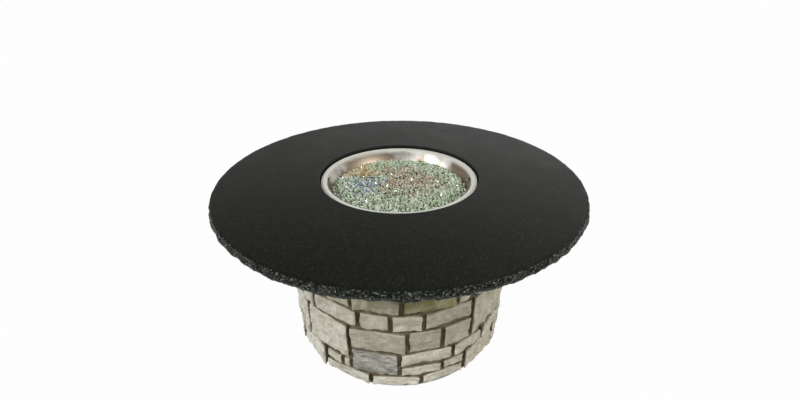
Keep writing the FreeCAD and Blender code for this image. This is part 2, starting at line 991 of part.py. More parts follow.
# Control panel: a stainless plate over the upper window, with four screws
panel_front = given.door_face_offset + given.door_sheet
panel_low = panel_window_low - given.lap
panel_high = panel_window_high + given.lap
control_z = (panel_low + panel_high) / 2
valve_x = -given.control_spread
igniter_x = given.control_spread
panel_plate = block(
    "PanelPlate",
    2 * leaf_half,
    given.door_sheet,
    panel_high - panel_low,
    -leaf_half,
    given.door_face_offset,
    panel_low,
)
panel_holes = [
    rod(
        "PanelStemHole",
        given.stem_radius + given.stem_hole_clearance,
        given.door_frame_depth,
        valve_x,
        given.door_face_offset - given.door_frame_depth / 2,
        control_z,
        "+Y",
    ),
    rod(
        "PanelIgniterHole",
        given.igniter_radius + given.running_clearance,
        given.door_frame_depth,
        igniter_x,
        given.door_face_offset - given.door_frame_depth / 2,
        control_z,
        "+Y",
    ),
]
screws = []
screw_holes = []
for across in (-1, 1):
    for height, z in (("Low", panel_low + given.screw_inset), ("High", panel_high - given.screw_inset)):
        name = "Panel%s%s" % (height, "Right" if across > 0 else "Left")
        x = across * (leaf_half - given.screw_inset)
        head = rod(name + "Head", given.screw_head_radius, given.screw_head_height, x, panel_front, z, "+Y")
        shank = rod(
            name + "Shank",
            given.screw_shank_radius,
            given.screw_shank_length,
            x,
            panel_front - given.screw_shank_length + given.screw_head_height / 2,
            z,
            "+Y",
        )
        hole = rod(
            name + "Hole",
            given.screw_shank_radius + given.running_clearance,
            given.door_frame_depth,
            x,
            given.door_face_offset - given.door_frame_depth / 2,
            z,
            "+Y",
        )
        screws.append(fuse(name + "Screw", [head, shank]))
        screw_holes.append(hole)
keep(cut("ControlPanel", panel_plate, panel_holes + screw_holes), "control_panel")
keep(group("PanelScrews", screws), "panel_screws")
door_frame.Tool.Shapes = door_frame.Tool.Shapes + screw_holes

# Control valve behind the panel: a brass block with a boss that meets the panel's back
valve_front = given.door_face_offset - given.valve_boss_length
valve_back = valve_front - given.valve_depth
valve_bore_end = valve_back + given.valve_floor
valve_block = block(
    "ValveBlock",
    given.valve_width,
    given.valve_depth,
    given.valve_height,
    valve_x - given.valve_width / 2,
    valve_back,
    control_z - given.valve_height / 2,
)
valve_boss = rod(
    "ValveBoss", given.valve_boss_radius, given.valve_boss_length, valve_x, valve_front, control_z, "+Y"
)
valve_bore = rod(
    "ValveBore",
    given.stem_radius + given.moving_clearance,
    given.door_frame_depth,
    valve_x,
    valve_bore_end,
    control_z,
    "+Y",
)
keep(cut("ControlValve", fuse("ValveSolid", [valve_block, valve_boss]), [valve_bore]), "control_valve")

# Plunger and spring inside the valve's bore: they let the knob be pushed in
plunger_back = valve_front - given.plunger_length * 2
plunger = rod(
    "ValvePlunger", given.stem_radius, given.plunger_length, valve_x, plunger_back, control_z, "+Y"
)
keep(plunger, "valve_plunger")


def coil(name, label, radius, x, low, high, z):
    """A compression spring along Y: a wire wound as a helix."""
    length = high.value - low.value - given.spring_wire.value
    helix = Part.makeLongHelix(length / given.spring_turns.value, length, radius)
    wire_radius = given.spring_wire.value / 2
    start = FreeCAD.Vector(radius, 0, 0)
    ring = Part.Wire(Part.Edge(Part.Circle(start, FreeCAD.Vector(0, 1, 0), wire_radius)))
    item = doc.addObject("Part::Feature", name)
    item.Shape = Part.Wire(helix).makePipeShell([ring], True, False)
    place(item, x, low + given.spring_wire / 2, z, ALONG["+Y"])
    keep(item, label)


coil(
    "ValveSpring",
    "valve_spring",
    given.stem_radius.value - given.spring_wire.value,
    valve_x,
    valve_bore_end,
    plunger_back,
    control_z,
)

# Stem and knob: they turn together on the plunger and slide with it
knob_back = panel_front + given.knob_travel + given.travel_spare
stem_front = knob_back + given.knob_depth / 2
stem = rod(
    "ValveStem",
    given.stem_radius,
    stem_front - plunger_back - given.plunger_length,
    valve_x,
    plunger_back + given.plunger_length,
    control_z,
    "+Y",
)
keep(stem, "valve_stem")
knob_turned = lathe(
    "KnobTurned",
    [
        (given.stem_radius, 0),
        (given.knob_foot_radius, 0),
        (given.knob_radius, given.knob_skirt_start),
        (given.knob_skirt_radius, given.knob_skirt_end),
        (given.knob_waist_radius, given.knob_waist_height),
        (given.knob_crown_radius, given.knob_depth),
        (0, given.knob_depth),
        (0, given.knob_depth / 2),
        (given.stem_radius, given.knob_depth / 2),
    ],
)
place(knob_turned, valve_x, knob_back, control_z, ALONG["+Y"])
knob_grip = block(
    "KnobGrip",
    given.grip_width,
    given.grip_height,
    given.grip_length,
    valve_x - given.grip_width / 2,
    knob_back + given.knob_depth / 2,
    control_z - given.grip_length / 2,
)
keep(fuse("ControlKnob", [knob_turned, knob_grip]), "control_knob")

# Igniter: a threaded spark generator through the panel, its nut, spring and button
igniter_back = given.door_face_offset - given.igniter_length
button_bore = given.button_radius + given.moving_clearance
button_front = panel_front + given.igniter_bezel_depth + given.button_travel + given.travel_spare
button_back = button_front - given.button_length
igniter_floor = button_back - given.button_length
igniter = lathe(
    "IgniterModule",
    [
        (0, 0),
        (given.igniter_radius, 0),
        (given.igniter_radius, panel_front - igniter_back),
        (given.igniter_bezel_radius, panel_front - igniter_back),
        (given.igniter_bezel_radius, panel_front - igniter_back + given.igniter_bezel_depth),
        (button_bore, panel_front - igniter_back + given.igniter_bezel_depth),
        (button_bore, igniter_floor - igniter_back),
        (0, igniter_floor - igniter_back),
    ],
)
place(igniter, igniter_x, igniter_back, control_z, ALONG["+Y"])
keep(igniter, "igniter_module")
nut_back = given.door_face_offset - given.igniter_nut_height
igniter_nut = cut(
    "IgniterNut",
    hexagon(
        "IgniterNutHex",
        given.igniter_nut_flats,
        given.igniter_nut_height,
        igniter_x,
        nut_back,
        control_z,
        "+Y",
    ),
    [
        rod(
            "IgniterNutBore",
            given.igniter_radius + given.running_clearance,
            2 * given.igniter_nut_height,
            igniter_x,
            nut_back - given.igniter_nut_height / 2,
            control_z,
            "+Y",
        )
    ],
)
keep(igniter_nut, "igniter_nut")
button = lathe(
    "IgniterButton",
    [
        (0, 0),
        (given.button_radius, 0),
        (given.button_radius, given.button_length - given.button_chamfer),
        (given.button_radius - given.button_chamfer, given.button_length),
        (0, given.button_length),
    ],
)
place(button, igniter_x, button_back, control_z, ALONG["+Y"])
keep(button, "igniter_button")
coil(
    "IgniterSpring",
    "igniter_spring",
    given.button_radius.value - 2 * given.spring_wire.value,
    igniter_x,
    igniter_floor,
    button_back,
    control_z,
)

# Air vents: a slotted plate and a sleeve through the wall, on either side
vent_inner_half = vent_half - given.vent_sheet
VENT_SLOTS = 5
for side, sign in (("left", -1), ("right", 1)):
    name = "Vent%s" % side.title()
    sleeve_depth = given.vent_face_offset - board_inner
    low_x = -given.vent_face_offset if sign < 0 else board_inner
    sleeve = block(
        name + "Block", sleeve_depth, given.vent_width, vent_high - vent_low, low_x, -vent_half, vent_low
    )
    hollow_x = given.vent_sheet - given.vent_face_offset if sign < 0 else board_inner
    hollow = block(
        name + "Hollow",
        sleeve_depth - given.vent_sheet,
        given.vent_width - 2 * given.vent_sheet,
        vent_high - vent_low - 2 * given.vent_sheet,
        hollow_x,
        -vent_inner_half,
        vent_low + given.vent_sheet,
    )
    slot_cuts = []
    for number in range(VENT_SLOTS):
        slot_cuts.append(
            block(
                "%sSlot%d" % (name, number + 1),
                2 * sleeve_depth,
                given.vent_width - 2 * given.vent_slot_margin,
                given.vent_slot_height,
                low_x - sleeve_depth / 2,
                given.vent_slot_margin - vent_half,
                (vent_low + vent_high) / 2
                + (number - (VENT_SLOTS - 1) / 2) * given.vent_slot_pitch
                - given.vent_slot_height / 2,
            )
        )
    keep(cut(name, sleeve, [hollow] + slot_cuts), "vent_%s" % side)

# Burner pan: one spun stainless sheet with a flange, a skirt that stands on the top ring and a bowl
pan_rim = given.pan_rim_diameter / 2
pan_top = given.top_height - given.pan_rim_drop
bowl_top_radius = pan_rim - given.pan_flange_width
pan_floor = pan_top - given.pan_depth
floor_radius = given.pan_floor_diameter / 2
bowl_spread = bowl_top_radius - floor_radius
bowl_chord = root_of(bowl_spread * bowl_spread + given.pan_depth * given.pan_depth)
bowl_curve = bowl_chord * bowl_chord / (8 * given.pan_wall_bulge) + given.pan_wall_bulge / 2
bowl_set_back = bowl_curve - given.pan_wall_bulge
bowl_centre_radius = (bowl_top_radius + floor_radius) / 2 - bowl_set_back * given.pan_depth / bowl_chord
bowl_centre_height = pan_top - given.pan_depth / 2 + bowl_set_back * bowl_spread / bowl_chord


def bowl_radius_at(height, curve):
    """Distance from the axis of the bowl's wall at a height, on an arc of this radius."""
    drop = height - bowl_centre_height
    return bowl_centre_radius + root_of(curve * curve - drop * drop)


pan_back_curve = bowl_curve + given.pan_sheet
pan_under = pan_floor - given.pan_sheet
pan = lathe(
    "BurnerPan",
    [
        (0, pan_under),
        (bowl_radius_at(pan_under, pan_back_curve), pan_under, pan_back_curve),
        (bowl_radius_at(pan_top - given.pan_sheet, pan_back_curve), pan_top - given.pan_sheet),
        (pan_rim - given.pan_sheet, pan_top - given.pan_sheet),
        (pan_rim - given.pan_sheet, slab_under),
        (pan_rim, slab_under),
        (pan_rim, pan_top),
        (bowl_top_radius, pan_top, -bowl_curve),
        (floor_radius, pan_floor),
        (0, pan_floor),
    ],
)


def add_circle(sketch, x, y, radius):
    centre = FreeCAD.Vector(float(x), float(y), 0)
    circle = Part.Circle(centre, FreeCAD.Vector(0, 0, 1), float(radius))
    edge = sketch.addGeometry(circle)
    size = sketch.addConstraint(Sketcher.Constraint("Radius", edge, float(radius)))
    sketch.setExpression("Constraints[%d]" % size, radius.text)
    pin_point(sketch, edge, 3, (x, y))


def pocket_through(body, sketch, name):
    pocket = body.newObject("PartDesign::Pocket", name)
    pocket.Profile = sketch
    pocket.Type = "ThroughAll"
    pocket.Midplane = True
    return pocket


DRAIN_HOLES = 4
pan_holes = sketch_on(pan, "XY_Plane", "PanHoles")
electrode_x = given.pilot_offset + given.pilot_pitch / 2
sensor_x = given.pilot_offset - given.pilot_pitch / 2
add_circle(pan_holes, 0, 0, given.pipe_radius + given.moving_clearance)
add_circle(pan_holes, electrode_x, 0, given.ceramic_radius + given.moving_clearance)
add_circle(pan_holes, sensor_x, 0, given.sensor_radius + given.moving_clearance)
for number in range(DRAIN_HOLES):
    angle = math.radians(360 / DRAIN_HOLES * (number + 0.5))
    add_circle(
        pan_holes,
        given.drain_circle_diameter / 2 * math.cos(angle),
        given.drain_circle_diameter / 2 * math.sin(angle),
        given.drain_hole_diameter / 2,
    )
pocket_through(pan, pan_holes, "PanHolesCut")
lift_slots = sketch_on(pan, "YZ_Plane", "LiftSlots")
lift_half = given.lift_slot_length / 2
lift_low = pan_top - given.lift_slot_drop
lift_high = lift_low + given.lift_slot_height
draw(lift_slots, rounded(-lift_half, lift_low, lift_half, lift_high, given.slot_corner))
lift_cut = pan.newObject("PartDesign::Pocket", "LiftSlotsCut")
lift_cut.Profile = lift_slots
lift_cut.Midplane = True
bind(lift_cut, Length=2 * (bowl_top_radius + given.pan_sheet))
keep(pan, "burner_pan")

# Burner: a tube ring, a cross tube and a hub on a threaded spigot, all brazed together
burner_z = pan_floor + given.burner_lift
burner_radius = given.burner_ring_diameter / 2


def burner_solids(name, grown, hub_foot):
    """The burner's outer tubes and hub, grown by a margin."""
    ring = doc.addObject("Part::Torus", name + "Ring")
    bind(ring, Radius1=burner_radius, Radius2=given.burner_tube_radius + grown)
    place(ring, 0, 0, burner_z)
    cross = rod(
        name + "Cross",
        given.burner_tube_radius + grown,
        given.burner_ring_diameter,
        0,
        -burner_radius,
        burner_z,
        "+Y",
    )
    hub = rod(name + "Hub", given.hub_radius + grown, given.hub_length + grown, 0, 0, hub_foot)
    return [ring, cross, hub]


tube_wall = given.pan_sheet
spigot = rod("BurnerSpigot", given.pipe_radius, given.spigot_length, 0, 0, pan_floor - given.spigot_length)
burner_outside = fuse("BurnerOutside", burner_solids("Burner", as_size(0), pan_floor) + [spigot])
ring_hollow = doc.addObject("Part::Torus", "BurnerRingHollow")
bind(ring_hollow, Radius1=burner_radius, Radius2=given.burner_tube_radius - tube_wall)
place(ring_hollow, 0, 0, burner_z)
cross_hollow = rod(
    "BurnerCrossHollow",
    given.burner_tube_radius - tube_wall,
    given.burner_ring_diameter,
    0,
    -burner_radius,
    burner_z,
    "+Y",
)
spigot_hollow = rod(
    "BurnerSpigotHollow",
    given.pipe_bore_radius,
    given.spigot_length + given.burner_lift,
    0,
    0,
    pan_floor - given.spigot_length,
)
PORTS = 24
ports = []
for number in range(PORTS):
    angle = math.radians(360 / PORTS * (number + 0.5))
    ports.append(
        rod(
            "BurnerPort%d" % (number + 1),
            given.burner_port_radius,
            2 * given.burner_tube_radius,
            burner_radius * math.cos(angle),
            burner_radius * math.sin(angle),
            burner_z,
        )
    )
burner = cut("BurnerRing", burner_outside, [ring_hollow, cross_hollow, spigot_hollow] + ports)
keep(burner, "burner_ring")

# Locknut under the pan
locknut = cut(
    "Locknut",
    hexagon("LocknutHex", given.nut_flats, given.nut_height, 0, 0, pan_under - given.nut_height),
    [
        rod(
            "LocknutBore",
            given.pipe_radius + given.running_clearance,
            2 * given.nut_height,
            0,
            0,
            pan_under - 1.5 * given.nut_height,
        )
    ],
)
keep(locknut, "burner_locknut")

# Air mixer: a tube screwed on the spigot, with air holes above the gas orifice
mixer_top = pan_under - given.nut_height
mixer_low = mixer_top - given.mixer_length
mixer_wall = rod("MixerWall", given.mixer_radius, given.mixer_length, 0, 0, mixer_low)
mixer_bore = rod(
    "MixerBore",
    given.pipe_radius + given.running_clearance,
    2 * given.mixer_length,
    0,
    0,
    mixer_low - given.mixer_length / 2,
)
mixer_holes = [
    rod(
        "MixerHole%s" % along[1],
        given.mixer_hole_radius,
        4 * given.mixer_radius,
        -2 * given.mixer_radius if along == "+X" else 0,
        -2 * given.mixer_radius if along == "+Y" else 0,
        mixer_low + given.mixer_hole_height,
        along,
    )
    for along in ("+X", "+Y")
]
keep(cut("AirMixer", mixer_wall, [mixer_bore] + mixer_holes), "air_mixer")

# Orifice elbow: brass, plugged in the mixer from below, its inlet towards the door
elbow_z = mixer_low - given.elbow_radius - given.elbow_gap
elbow_post = rod("ElbowPost", given.pipe_radius, given.elbow_drop + given.elbow_gap, 0, 0, elbow_z)
elbow_ball = doc.addObject("Part::Sphere", "ElbowBall")
bind(elbow_ball, Radius=given.pipe_radius)
place(elbow_ball, 0, 0, elbow_z)
elbow_arm = rod("ElbowArm", given.elbow_radius, given.elbow_drop, 0, 0, elbow_z, "+Y")
elbow_jet = rod("ElbowJet", given.tip_radius, 2 * given.elbow_drop, 0, 0, elbow_z)
elbow_inlet = rod("ElbowInlet", given.hose_bore_radius, given.elbow_drop, 0, 0, elbow_z, "+Y")
keep(
    cut("OrificeElbow", fuse("ElbowSolid", [elbow_post, elbow_ball, elbow_arm]), [elbow_jet, elbow_inlet]),
    "orifice_elbow",
)

# Pilot bracket on the pan's floor, with the spark electrode and the flame sensor standing in it
bracket_plate = block(
    "BracketPlate",
    given.bracket_length,
    given.bracket_width,
    given.bracket_thickness,
    given.pilot_offset - given.bracket_length / 2,
    -given.bracket_width / 2,
    pan_floor,
)
pilot_foot = pan_floor - given.ceramic_below


def pilot_rods(name, grown):
    """The ceramic, its spark tip and the sensor, grown by a margin."""
    ceramic = rod(
        name + "Ceramic",
        given.ceramic_radius + grown,
        given.ceramic_length + grown,
        electrode_x,
        0,
        pilot_foot,
    )
    tip = rod(
        name + "Tip",
        given.tip_radius + grown,
        given.tip_length + grown,
        electrode_x,
        0,
        pilot_foot + given.ceramic_length,
    )
    sensor = rod(
        name + "Sensor",
        given.sensor_radius + grown,
        given.sensor_length + grown,
        sensor_x,
        0,
        pilot_foot,
    )
    return ceramic, tip, sensor


ceramic, tip, sensor = pilot_rods("Pilot", as_size(0))
bracket_holes = list(pilot_rods("BracketHole", given.running_clearance))
keep(cut("PilotBracket", bracket_plate, bracket_holes), "pilot_bracket")
keep(fuse("IgniterElectrode", [ceramic, tip]), "igniter_electrode")
keep(sensor, "thermocouple")

# Fire glass: the bed of loose chips as one low dome, heaped in rings of shallow mounds, with a
# face broken into flats about as large as a few chips, and hollowed for what stands in it
glass_edge = pan_top - given.glass_edge_drop
glass_curve = bowl_curve - given.glass_clearance
glass_radius = bowl_radius_at(glass_edge, glass_curve)
glass_top = glass_edge + given.glass_dome + given.glass_mound_height + given.glass_chip_rise
glass_top_radius = bowl_radius_at(glass_top, glass_curve)
glass_mass = lathe(
    "GlassMass",
    [
        (0, pan_floor),
        (bowl_radius_at(pan_floor, glass_curve), pan_floor, glass_curve),
        (glass_top_radius, glass_top),
        (0, glass_top),
    ],
)
MOUND_RINGS = 4
MOUND_LOW = 0.7
heap = random.Random(5)
mounds = []
for ring in range(MOUND_RINGS):
    mounds_in_ring = max(1, 6 * ring)
    for number in range(mounds_in_ring):
        angle = 2 * math.pi * (number + ring / 2) / mounds_in_ring
        across = ring * given.glass_mound_pitch.value
        rise = given.glass_mound_height.value * heap.uniform(MOUND_LOW, 1)
        mounds.append((across * math.cos(angle), across * math.sin(angle), rise))


def heaped_height(x, y):
    """Height of the smooth heap: the dome with the mound that is highest at this place."""
    dome = glass_edge.value + given.glass_dome.value * (1 - (x * x + y * y) / glass_radius.value ** 2)
    rises = [
        rise * (1 - ((x - mound_x) ** 2 + (y - mound_y) ** 2) / given.glass_mound_radius.value ** 2)
        for mound_x, mound_y, rise in mounds
    ]
    return dome + max(0, *rises)


# What is cleared away above the chips: its underside is a net of triangles with uneven corners
chip_row = given.glass_chip_pitch.value * math.sqrt(3) / 2
chip_rows = int(glass_top_radius.value / chip_row) + 2
chip_columns = int(glass_top_radius.value / given.glass_chip_pitch.value) + 2
chip_corners = {}
for row in range(-chip_rows, chip_rows + 1):
    for column in range(-chip_columns, chip_columns + 1):
        x = (column + row % 2 / 2) * given.glass_chip_pitch.value
        y = row * chip_row
        broken = given.glass_chip_rise.value - given.glass_chip_relief.value * heap.random()
        chip_corners[row, column] = FreeCAD.Vector(x, y, heaped_height(x, y) + broken)


def flat_face(points):
    return Part.Face(Part.makePolygon(list(points) + [points[0]]))


clear_faces = []
for row in range(-chip_rows, chip_rows):
    for column in range(-chip_columns, chip_columns):
        near, near_next = chip_corners[row, column], chip_corners[row, column + 1]
        far, far_next = chip_corners[row + 1, column], chip_corners[row + 1, column + 1]
        if row % 2:
            triangles = ((near, far_next, far), (near, near_next, far_next))
        else:
            triangles = ((near, near_next, far), (far, near_next, far_next))
        clear_faces += [flat_face(triangle) for triangle in triangles]
rim = [chip_corners[-chip_rows, column] for column in range(-chip_columns, chip_columns)]
rim += [chip_corners[row, chip_columns] for row in range(-chip_rows, chip_rows)]
rim += [chip_corners[chip_rows, column] for column in range(chip_columns, -chip_columns, -1)]
rim += [chip_corners[row, -chip_columns] for row in range(chip_rows, -chip_rows, -1)]
lid_height = given.top_height.value
lid = [FreeCAD.Vector(point.x, point.y, lid_height) for point in rim]
for number, point in enumerate(rim):
    after = (number + 1) % len(rim)
    clear_faces.append(flat_face([point, rim[after], lid[after], lid[number]]))
clear_faces.append(flat_face(lid))
clear_shell = Part.makeShell(clear_faces)
clear_shell.sewShape()
above_chips = doc.addObject("Part::Feature", "AboveChips")
above_chips.Shape = Part.makeSolid(clear_shell)
bracket_void = block(
    "BracketVoid",
    given.bracket_length + 2 * given.glass_clearance,
    given.bracket_width + 2 * given.glass_clearance,
    given.bracket_thickness + given.glass_clearance,
    given.pilot_offset - given.bracket_length / 2 - given.glass_clearance,
    -given.bracket_width / 2 - given.glass_clearance,
    pan_floor,
)
glass_voids = [above_chips] + burner_solids("GlassVoid", given.glass_clearance, pan_floor)
glass_voids += list(pilot_rods("GlassVoid", given.glass_clearance)) + [bracket_void]
keep(cut("FireGlass", glass_mass, glass_voids), "fire_glass")

# Gas inlet: a threaded steel nipple set in the mortar low in the back wall
nipple_outer_end = stone_face + given.inlet_reach
thread_start = nipple_outer_end - given.thread_length
nipple_wall = rod(
    "NippleWall",
    given.pipe_radius,
    thread_start - given.inlet_inner_end,
    0,
    given.inlet_inner_end,
    given.inlet_height,
    "+Y",
)
nipple_thread = rod(
    "NippleThread", given.thread_radius, given.thread_length, 0, thread_start, given.inlet_height, "+Y"
)
nipple = fuse("NippleSolid", [nipple_wall, nipple_thread])
nipple_bore = rod(
    "NippleBore",
    given.pipe_bore_radius,
    2 * nipple_outer_end,
    0,
    0,
    given.inlet_height,
    "+Y",
)
keep(cut("InletNipple", nipple, [nipple_bore]), "inlet_nipple")

# Shut-off valve on the nipple's inner end, with a quarter-turn lever
shutoff_end = given.inlet_inner_end - given.shutoff_length
shutoff_y = given.inlet_inner_end - given.shutoff_length / 2
shutoff_body = rod(
    "ShutoffBody", given.shutoff_radius, given.shutoff_length, 0, shutoff_end, given.inlet_height, "+Y"
)
neck_top = given.inlet_height + given.shutoff_radius + given.shutoff_neck_height
shutoff_neck = rod(
    "ShutoffNeck",
    given.shutoff_neck_radius,
    neck_top - given.inlet_height,
    0,
    shutoff_y,
    given.inlet_height,
)
stem_foot = neck_top - given.lever_stem_height / 2
shutoff_stem_bore = rod(
    "ShutoffStemBore",
    given.lever_stem_radius + given.moving_clearance,
    given.lever_stem_height,
    0,
    shutoff_y,
    stem_foot - given.moving_clearance,
)
keep(
    cut("ShutoffValve", fuse("ShutoffSolid", [shutoff_body, shutoff_neck]), [shutoff_stem_bore]),
    "shutoff_valve",
)
lever_stem = rod("LeverStem", given.lever_stem_radius, given.lever_stem_height, 0, shutoff_y, stem_foot)
lever_bar = block(
    "LeverBar",
    given.lever_length,
    given.lever_width,
    given.lever_thickness,
    -given.lever_width / 2,
    shutoff_y - given.lever_width / 2,
    stem_foot + given.lever_stem_height - given.lever_thickness,
)
keep(fuse("ShutoffLever", [lever_stem, lever_bar]), "shutoff_lever")


# Share of the shorter run beside a corner that the corner's arc takes up
ARC_SHARE = 0.45


def route(points):
    """Straight runs through the points, joined by tangent arcs as large as the runs allow."""
    corners = [FreeCAD.Vector(*[float(value) for value in point]) for point in points]
    edges = []
    start = corners[0]
    radii = []
    for before, corner, after in zip(corners, corners[1:], corners[2:]):
        back = before - corner
        ahead = after - corner
        shorter = min(back.Length, ahead.Length)
        half_turn = (math.pi - back.getAngle(ahead)) / 2
        trim = ARC_SHARE * shorter
        radii.append(trim / math.tan(half_turn))
        back.normalize()
        ahead.normalize()
        first = corner + back * trim
        last = corner + ahead * trim
        to_middle = (back + ahead).normalize()
        to_centre = math.hypot(trim, radii[-1])
        middle = corner + to_middle * (to_centre - radii[-1])
        edges.append(Part.LineSegment(start, first).toShape())
        edges.append(Part.Arc(first, middle, last).toShape())
        start = last
    edges.append(Part.LineSegment(start, corners[-1]).toShape())
    return Part.Wire(edges), radii


def tube(name, label, points, radius, bore=None):
    """A hose or lead along a route, with its bore if it has one."""
    wire, radii = route(points)
    start = wire.Vertexes[0].Point
    along = wire.Edges[0].tangentAt(wire.Edges[0].FirstParameter)

    def swept(size):
        ring = Part.Wire(Part.Edge(Part.Circle(start, along, float(size))))
        return wire.makePipeShell([ring], True, False)

    solid = swept(radius)
    section = math.pi * float(radius) ** 2
    if bore is not None:
        solid = solid.cut(swept(bore))
        section -= math.pi * float(bore) ** 2
    item = doc.addObject("Part::Feature", name)
    item.Shape = solid
    keep(item, label)
    share = solid.Volume / (section * wire.Length)
    radii = [round(radius) for radius in radii]
    print(label, "length", round(wire.Length), "radii", radii, "volume", round(share, 4))


# Flexible gas hoses, flare nuts at their ends, the spark lead and the sensor's capillary
valve_inlet_y = valve_back + given.valve_depth / 2
valve_inlet_z = control_z - given.valve_height / 2
SUPPLY_ROUTE = [
    (0, shutoff_end, given.inlet_height),
    (0, 120, given.inlet_height),
    (-30, 120, 210),
    (valve_x, valve_inlet_y, 330),
    (valve_x, valve_inlet_y, valve_inlet_z),
]
BURNER_ROUTE = [
    (valve_x, valve_back, control_z),
    (valve_x, 225, control_z),
    (0, 110, elbow_z),
    (0, given.elbow_drop, elbow_z),
]
LEAD_ROUTE = [
    (igniter_x, igniter_back, control_z),
    (igniter_x, 230, control_z),
    (electrode_x, 95, pilot_foot - 40),
    (electrode_x, 0, pilot_foot - 38),
    (electrode_x, 0, pilot_foot),
]
CAPILLARY_ROUTE = [
    (valve_x + given.valve_width / 2, valve_inlet_y, control_z),
    (-20, valve_inlet_y, control_z),
    (8, 260, control_z + 2),
    (sensor_x, 95, pilot_foot - 40),
    (sensor_x, 0, pilot_foot - 38),
    (sensor_x, 0, pilot_foot),
]
tube("SupplyHose", "supply_hose", SUPPLY_ROUTE, given.hose_radius, given.hose_bore_radius)
tube("BurnerHose", "burner_hose", BURNER_ROUTE, given.hose_radius, given.hose_bore_radius)
tube("IgnitionLead", "ignition_lead", LEAD_ROUTE, given.lead_radius)
tube("ThermocoupleLead", "thermocouple_lead", CAPILLARY_ROUTE, given.capillary_radius)

NUT_ENDS = (
    ("Supply", 0, shutoff_end, given.inlet_height, "-Y"),
    ("ValveInlet", valve_x, valve_inlet_y, valve_inlet_z, "-Z"),
    ("ValveOutlet", valve_x, valve_back, control_z, "-Y"),
    ("Elbow", 0, given.elbow_drop, elbow_z, "+Y"),
)
flare_nuts = []
for name, x, y, z, along in NUT_ENDS:
    nut = hexagon(name + "NutHex", given.flare_nut_flats, given.flare_nut_height, x, y, z, along)
    bore_radius = given.hose_radius + given.running_clearance
    bore = rod(name + "NutBore", bore_radius, given.flare_nut_height, x, y, z, along)
    flare_nuts.append(cut(name + "Nut", nut, [bore]))
keep(group("FlareNuts", flare_nuts), "flare_nuts")

# Mortar: a bed behind the stones and recessed joints between them, in one mass round the nipple
doc.recompute()
outer = Part.makeCylinder(mortar_face.value, (slab_under - given.ground_gap).value)
inner = Part.makeCylinder(board_outer.value, (slab_under - given.ground_gap).value)
bed = outer.cut(inner)
bed.translate(FreeCAD.Vector(0, 0, given.ground_gap.value))
all_stones = [solid for solids in laid.values() for solid in solids]
mortar = doc.addObject("Part::Feature", "Mortar")
mortar.Shape = bed.cut([door_void.Shape, vent_void.Shape, nipple.Shape] + all_stones).Solids[0]
keep(mortar, "mortar")

# Every object has to be sound before anything is written
doc.recompute()
for item in doc.Objects:
    faults = [word for word in item.State if word in ("Invalid", "Error")]
    if faults:
        raise RuntimeError("%s is %s" % (item.Name, faults))
for item in nodes:
    if item.Shape.isNull() or not item.Shape.isValid():
        raise RuntimeError("%s has no valid shape" % item.Label)
os.makedirs("parts", exist_ok=True)
for item in nodes:
    item.Shape.exportStep("parts/%s.step" % item.Label)
    box = item.Shape.BoundBox
    print(
        "%-24s solids %3d  x %.1f..%.1f  y %.1f..%.1f  z %.1f..%.1f"
        % (
            item.Label,
            len(item.Shape.Solids),
            box.XMin,
            box.XMax,
            box.YMin,
            box.YMax,
            box.ZMin,
            box.ZMax,
        )
    )
print(len(nodes), "sub-parts")
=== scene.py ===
import json
import math
import random

import bpy
from mathutils import Matrix, Vector
from mathutils.bvhtree import BVHTree

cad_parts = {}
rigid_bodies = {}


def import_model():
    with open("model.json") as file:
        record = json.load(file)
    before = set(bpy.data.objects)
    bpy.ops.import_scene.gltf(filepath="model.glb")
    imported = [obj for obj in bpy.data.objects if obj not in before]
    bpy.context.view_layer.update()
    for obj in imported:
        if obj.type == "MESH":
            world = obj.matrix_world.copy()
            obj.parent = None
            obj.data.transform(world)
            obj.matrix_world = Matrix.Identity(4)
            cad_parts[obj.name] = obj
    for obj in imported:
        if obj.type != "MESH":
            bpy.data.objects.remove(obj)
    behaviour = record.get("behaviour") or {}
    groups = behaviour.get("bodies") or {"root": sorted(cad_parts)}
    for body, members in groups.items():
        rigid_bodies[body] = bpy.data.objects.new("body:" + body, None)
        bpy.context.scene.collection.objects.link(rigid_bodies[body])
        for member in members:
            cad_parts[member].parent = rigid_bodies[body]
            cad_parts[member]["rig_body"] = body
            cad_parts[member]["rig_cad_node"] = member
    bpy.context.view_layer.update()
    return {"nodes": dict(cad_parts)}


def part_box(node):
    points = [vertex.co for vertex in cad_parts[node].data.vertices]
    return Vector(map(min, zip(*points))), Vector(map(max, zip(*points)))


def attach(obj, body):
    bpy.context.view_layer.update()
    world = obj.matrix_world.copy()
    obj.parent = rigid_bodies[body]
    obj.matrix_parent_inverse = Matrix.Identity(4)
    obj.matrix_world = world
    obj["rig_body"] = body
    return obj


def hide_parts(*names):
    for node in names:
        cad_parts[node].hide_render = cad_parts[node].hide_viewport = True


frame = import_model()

nodes = frame["nodes"]


# Patio and daylight. The table stands on a pale floor, seen mostly white with a light shadow and
# as plain concrete inside the drum. The soft sky is brighter to the right and, behind the table,
# near the horizon. Two lamps shine from the front left and right.
FLOOR_COLOUR = "cacac8"
FLOOR_RADIUS = 60.0
FLOOR_WHITE = 0.97
DRUM_RADIUS = 0.38
SKY_FRONT = 0.31
SKY_BACK_LOW = 0.52
SKY_BACK_HIGH = 0.17
SKY_LEFT = 0.8
SKY_RIGHT = 1.45
RISE_LOW = 0.34
RISE_HIGH = 0.6
TOWARDS_FRONT = -0.6
TOWARDS_BACK = 0.45
TOWARDS_SIDE = 0.35
CAMERA_PLACE = (0.0047, -1.2664, 1.1918)
CAMERA_FORWARD = (-0.0014, 0.87898, -0.47683)
CAMERA_UP = (0.00262, 0.47683, 0.87899)
SENSOR_WIDTH = 36
LENS = 18


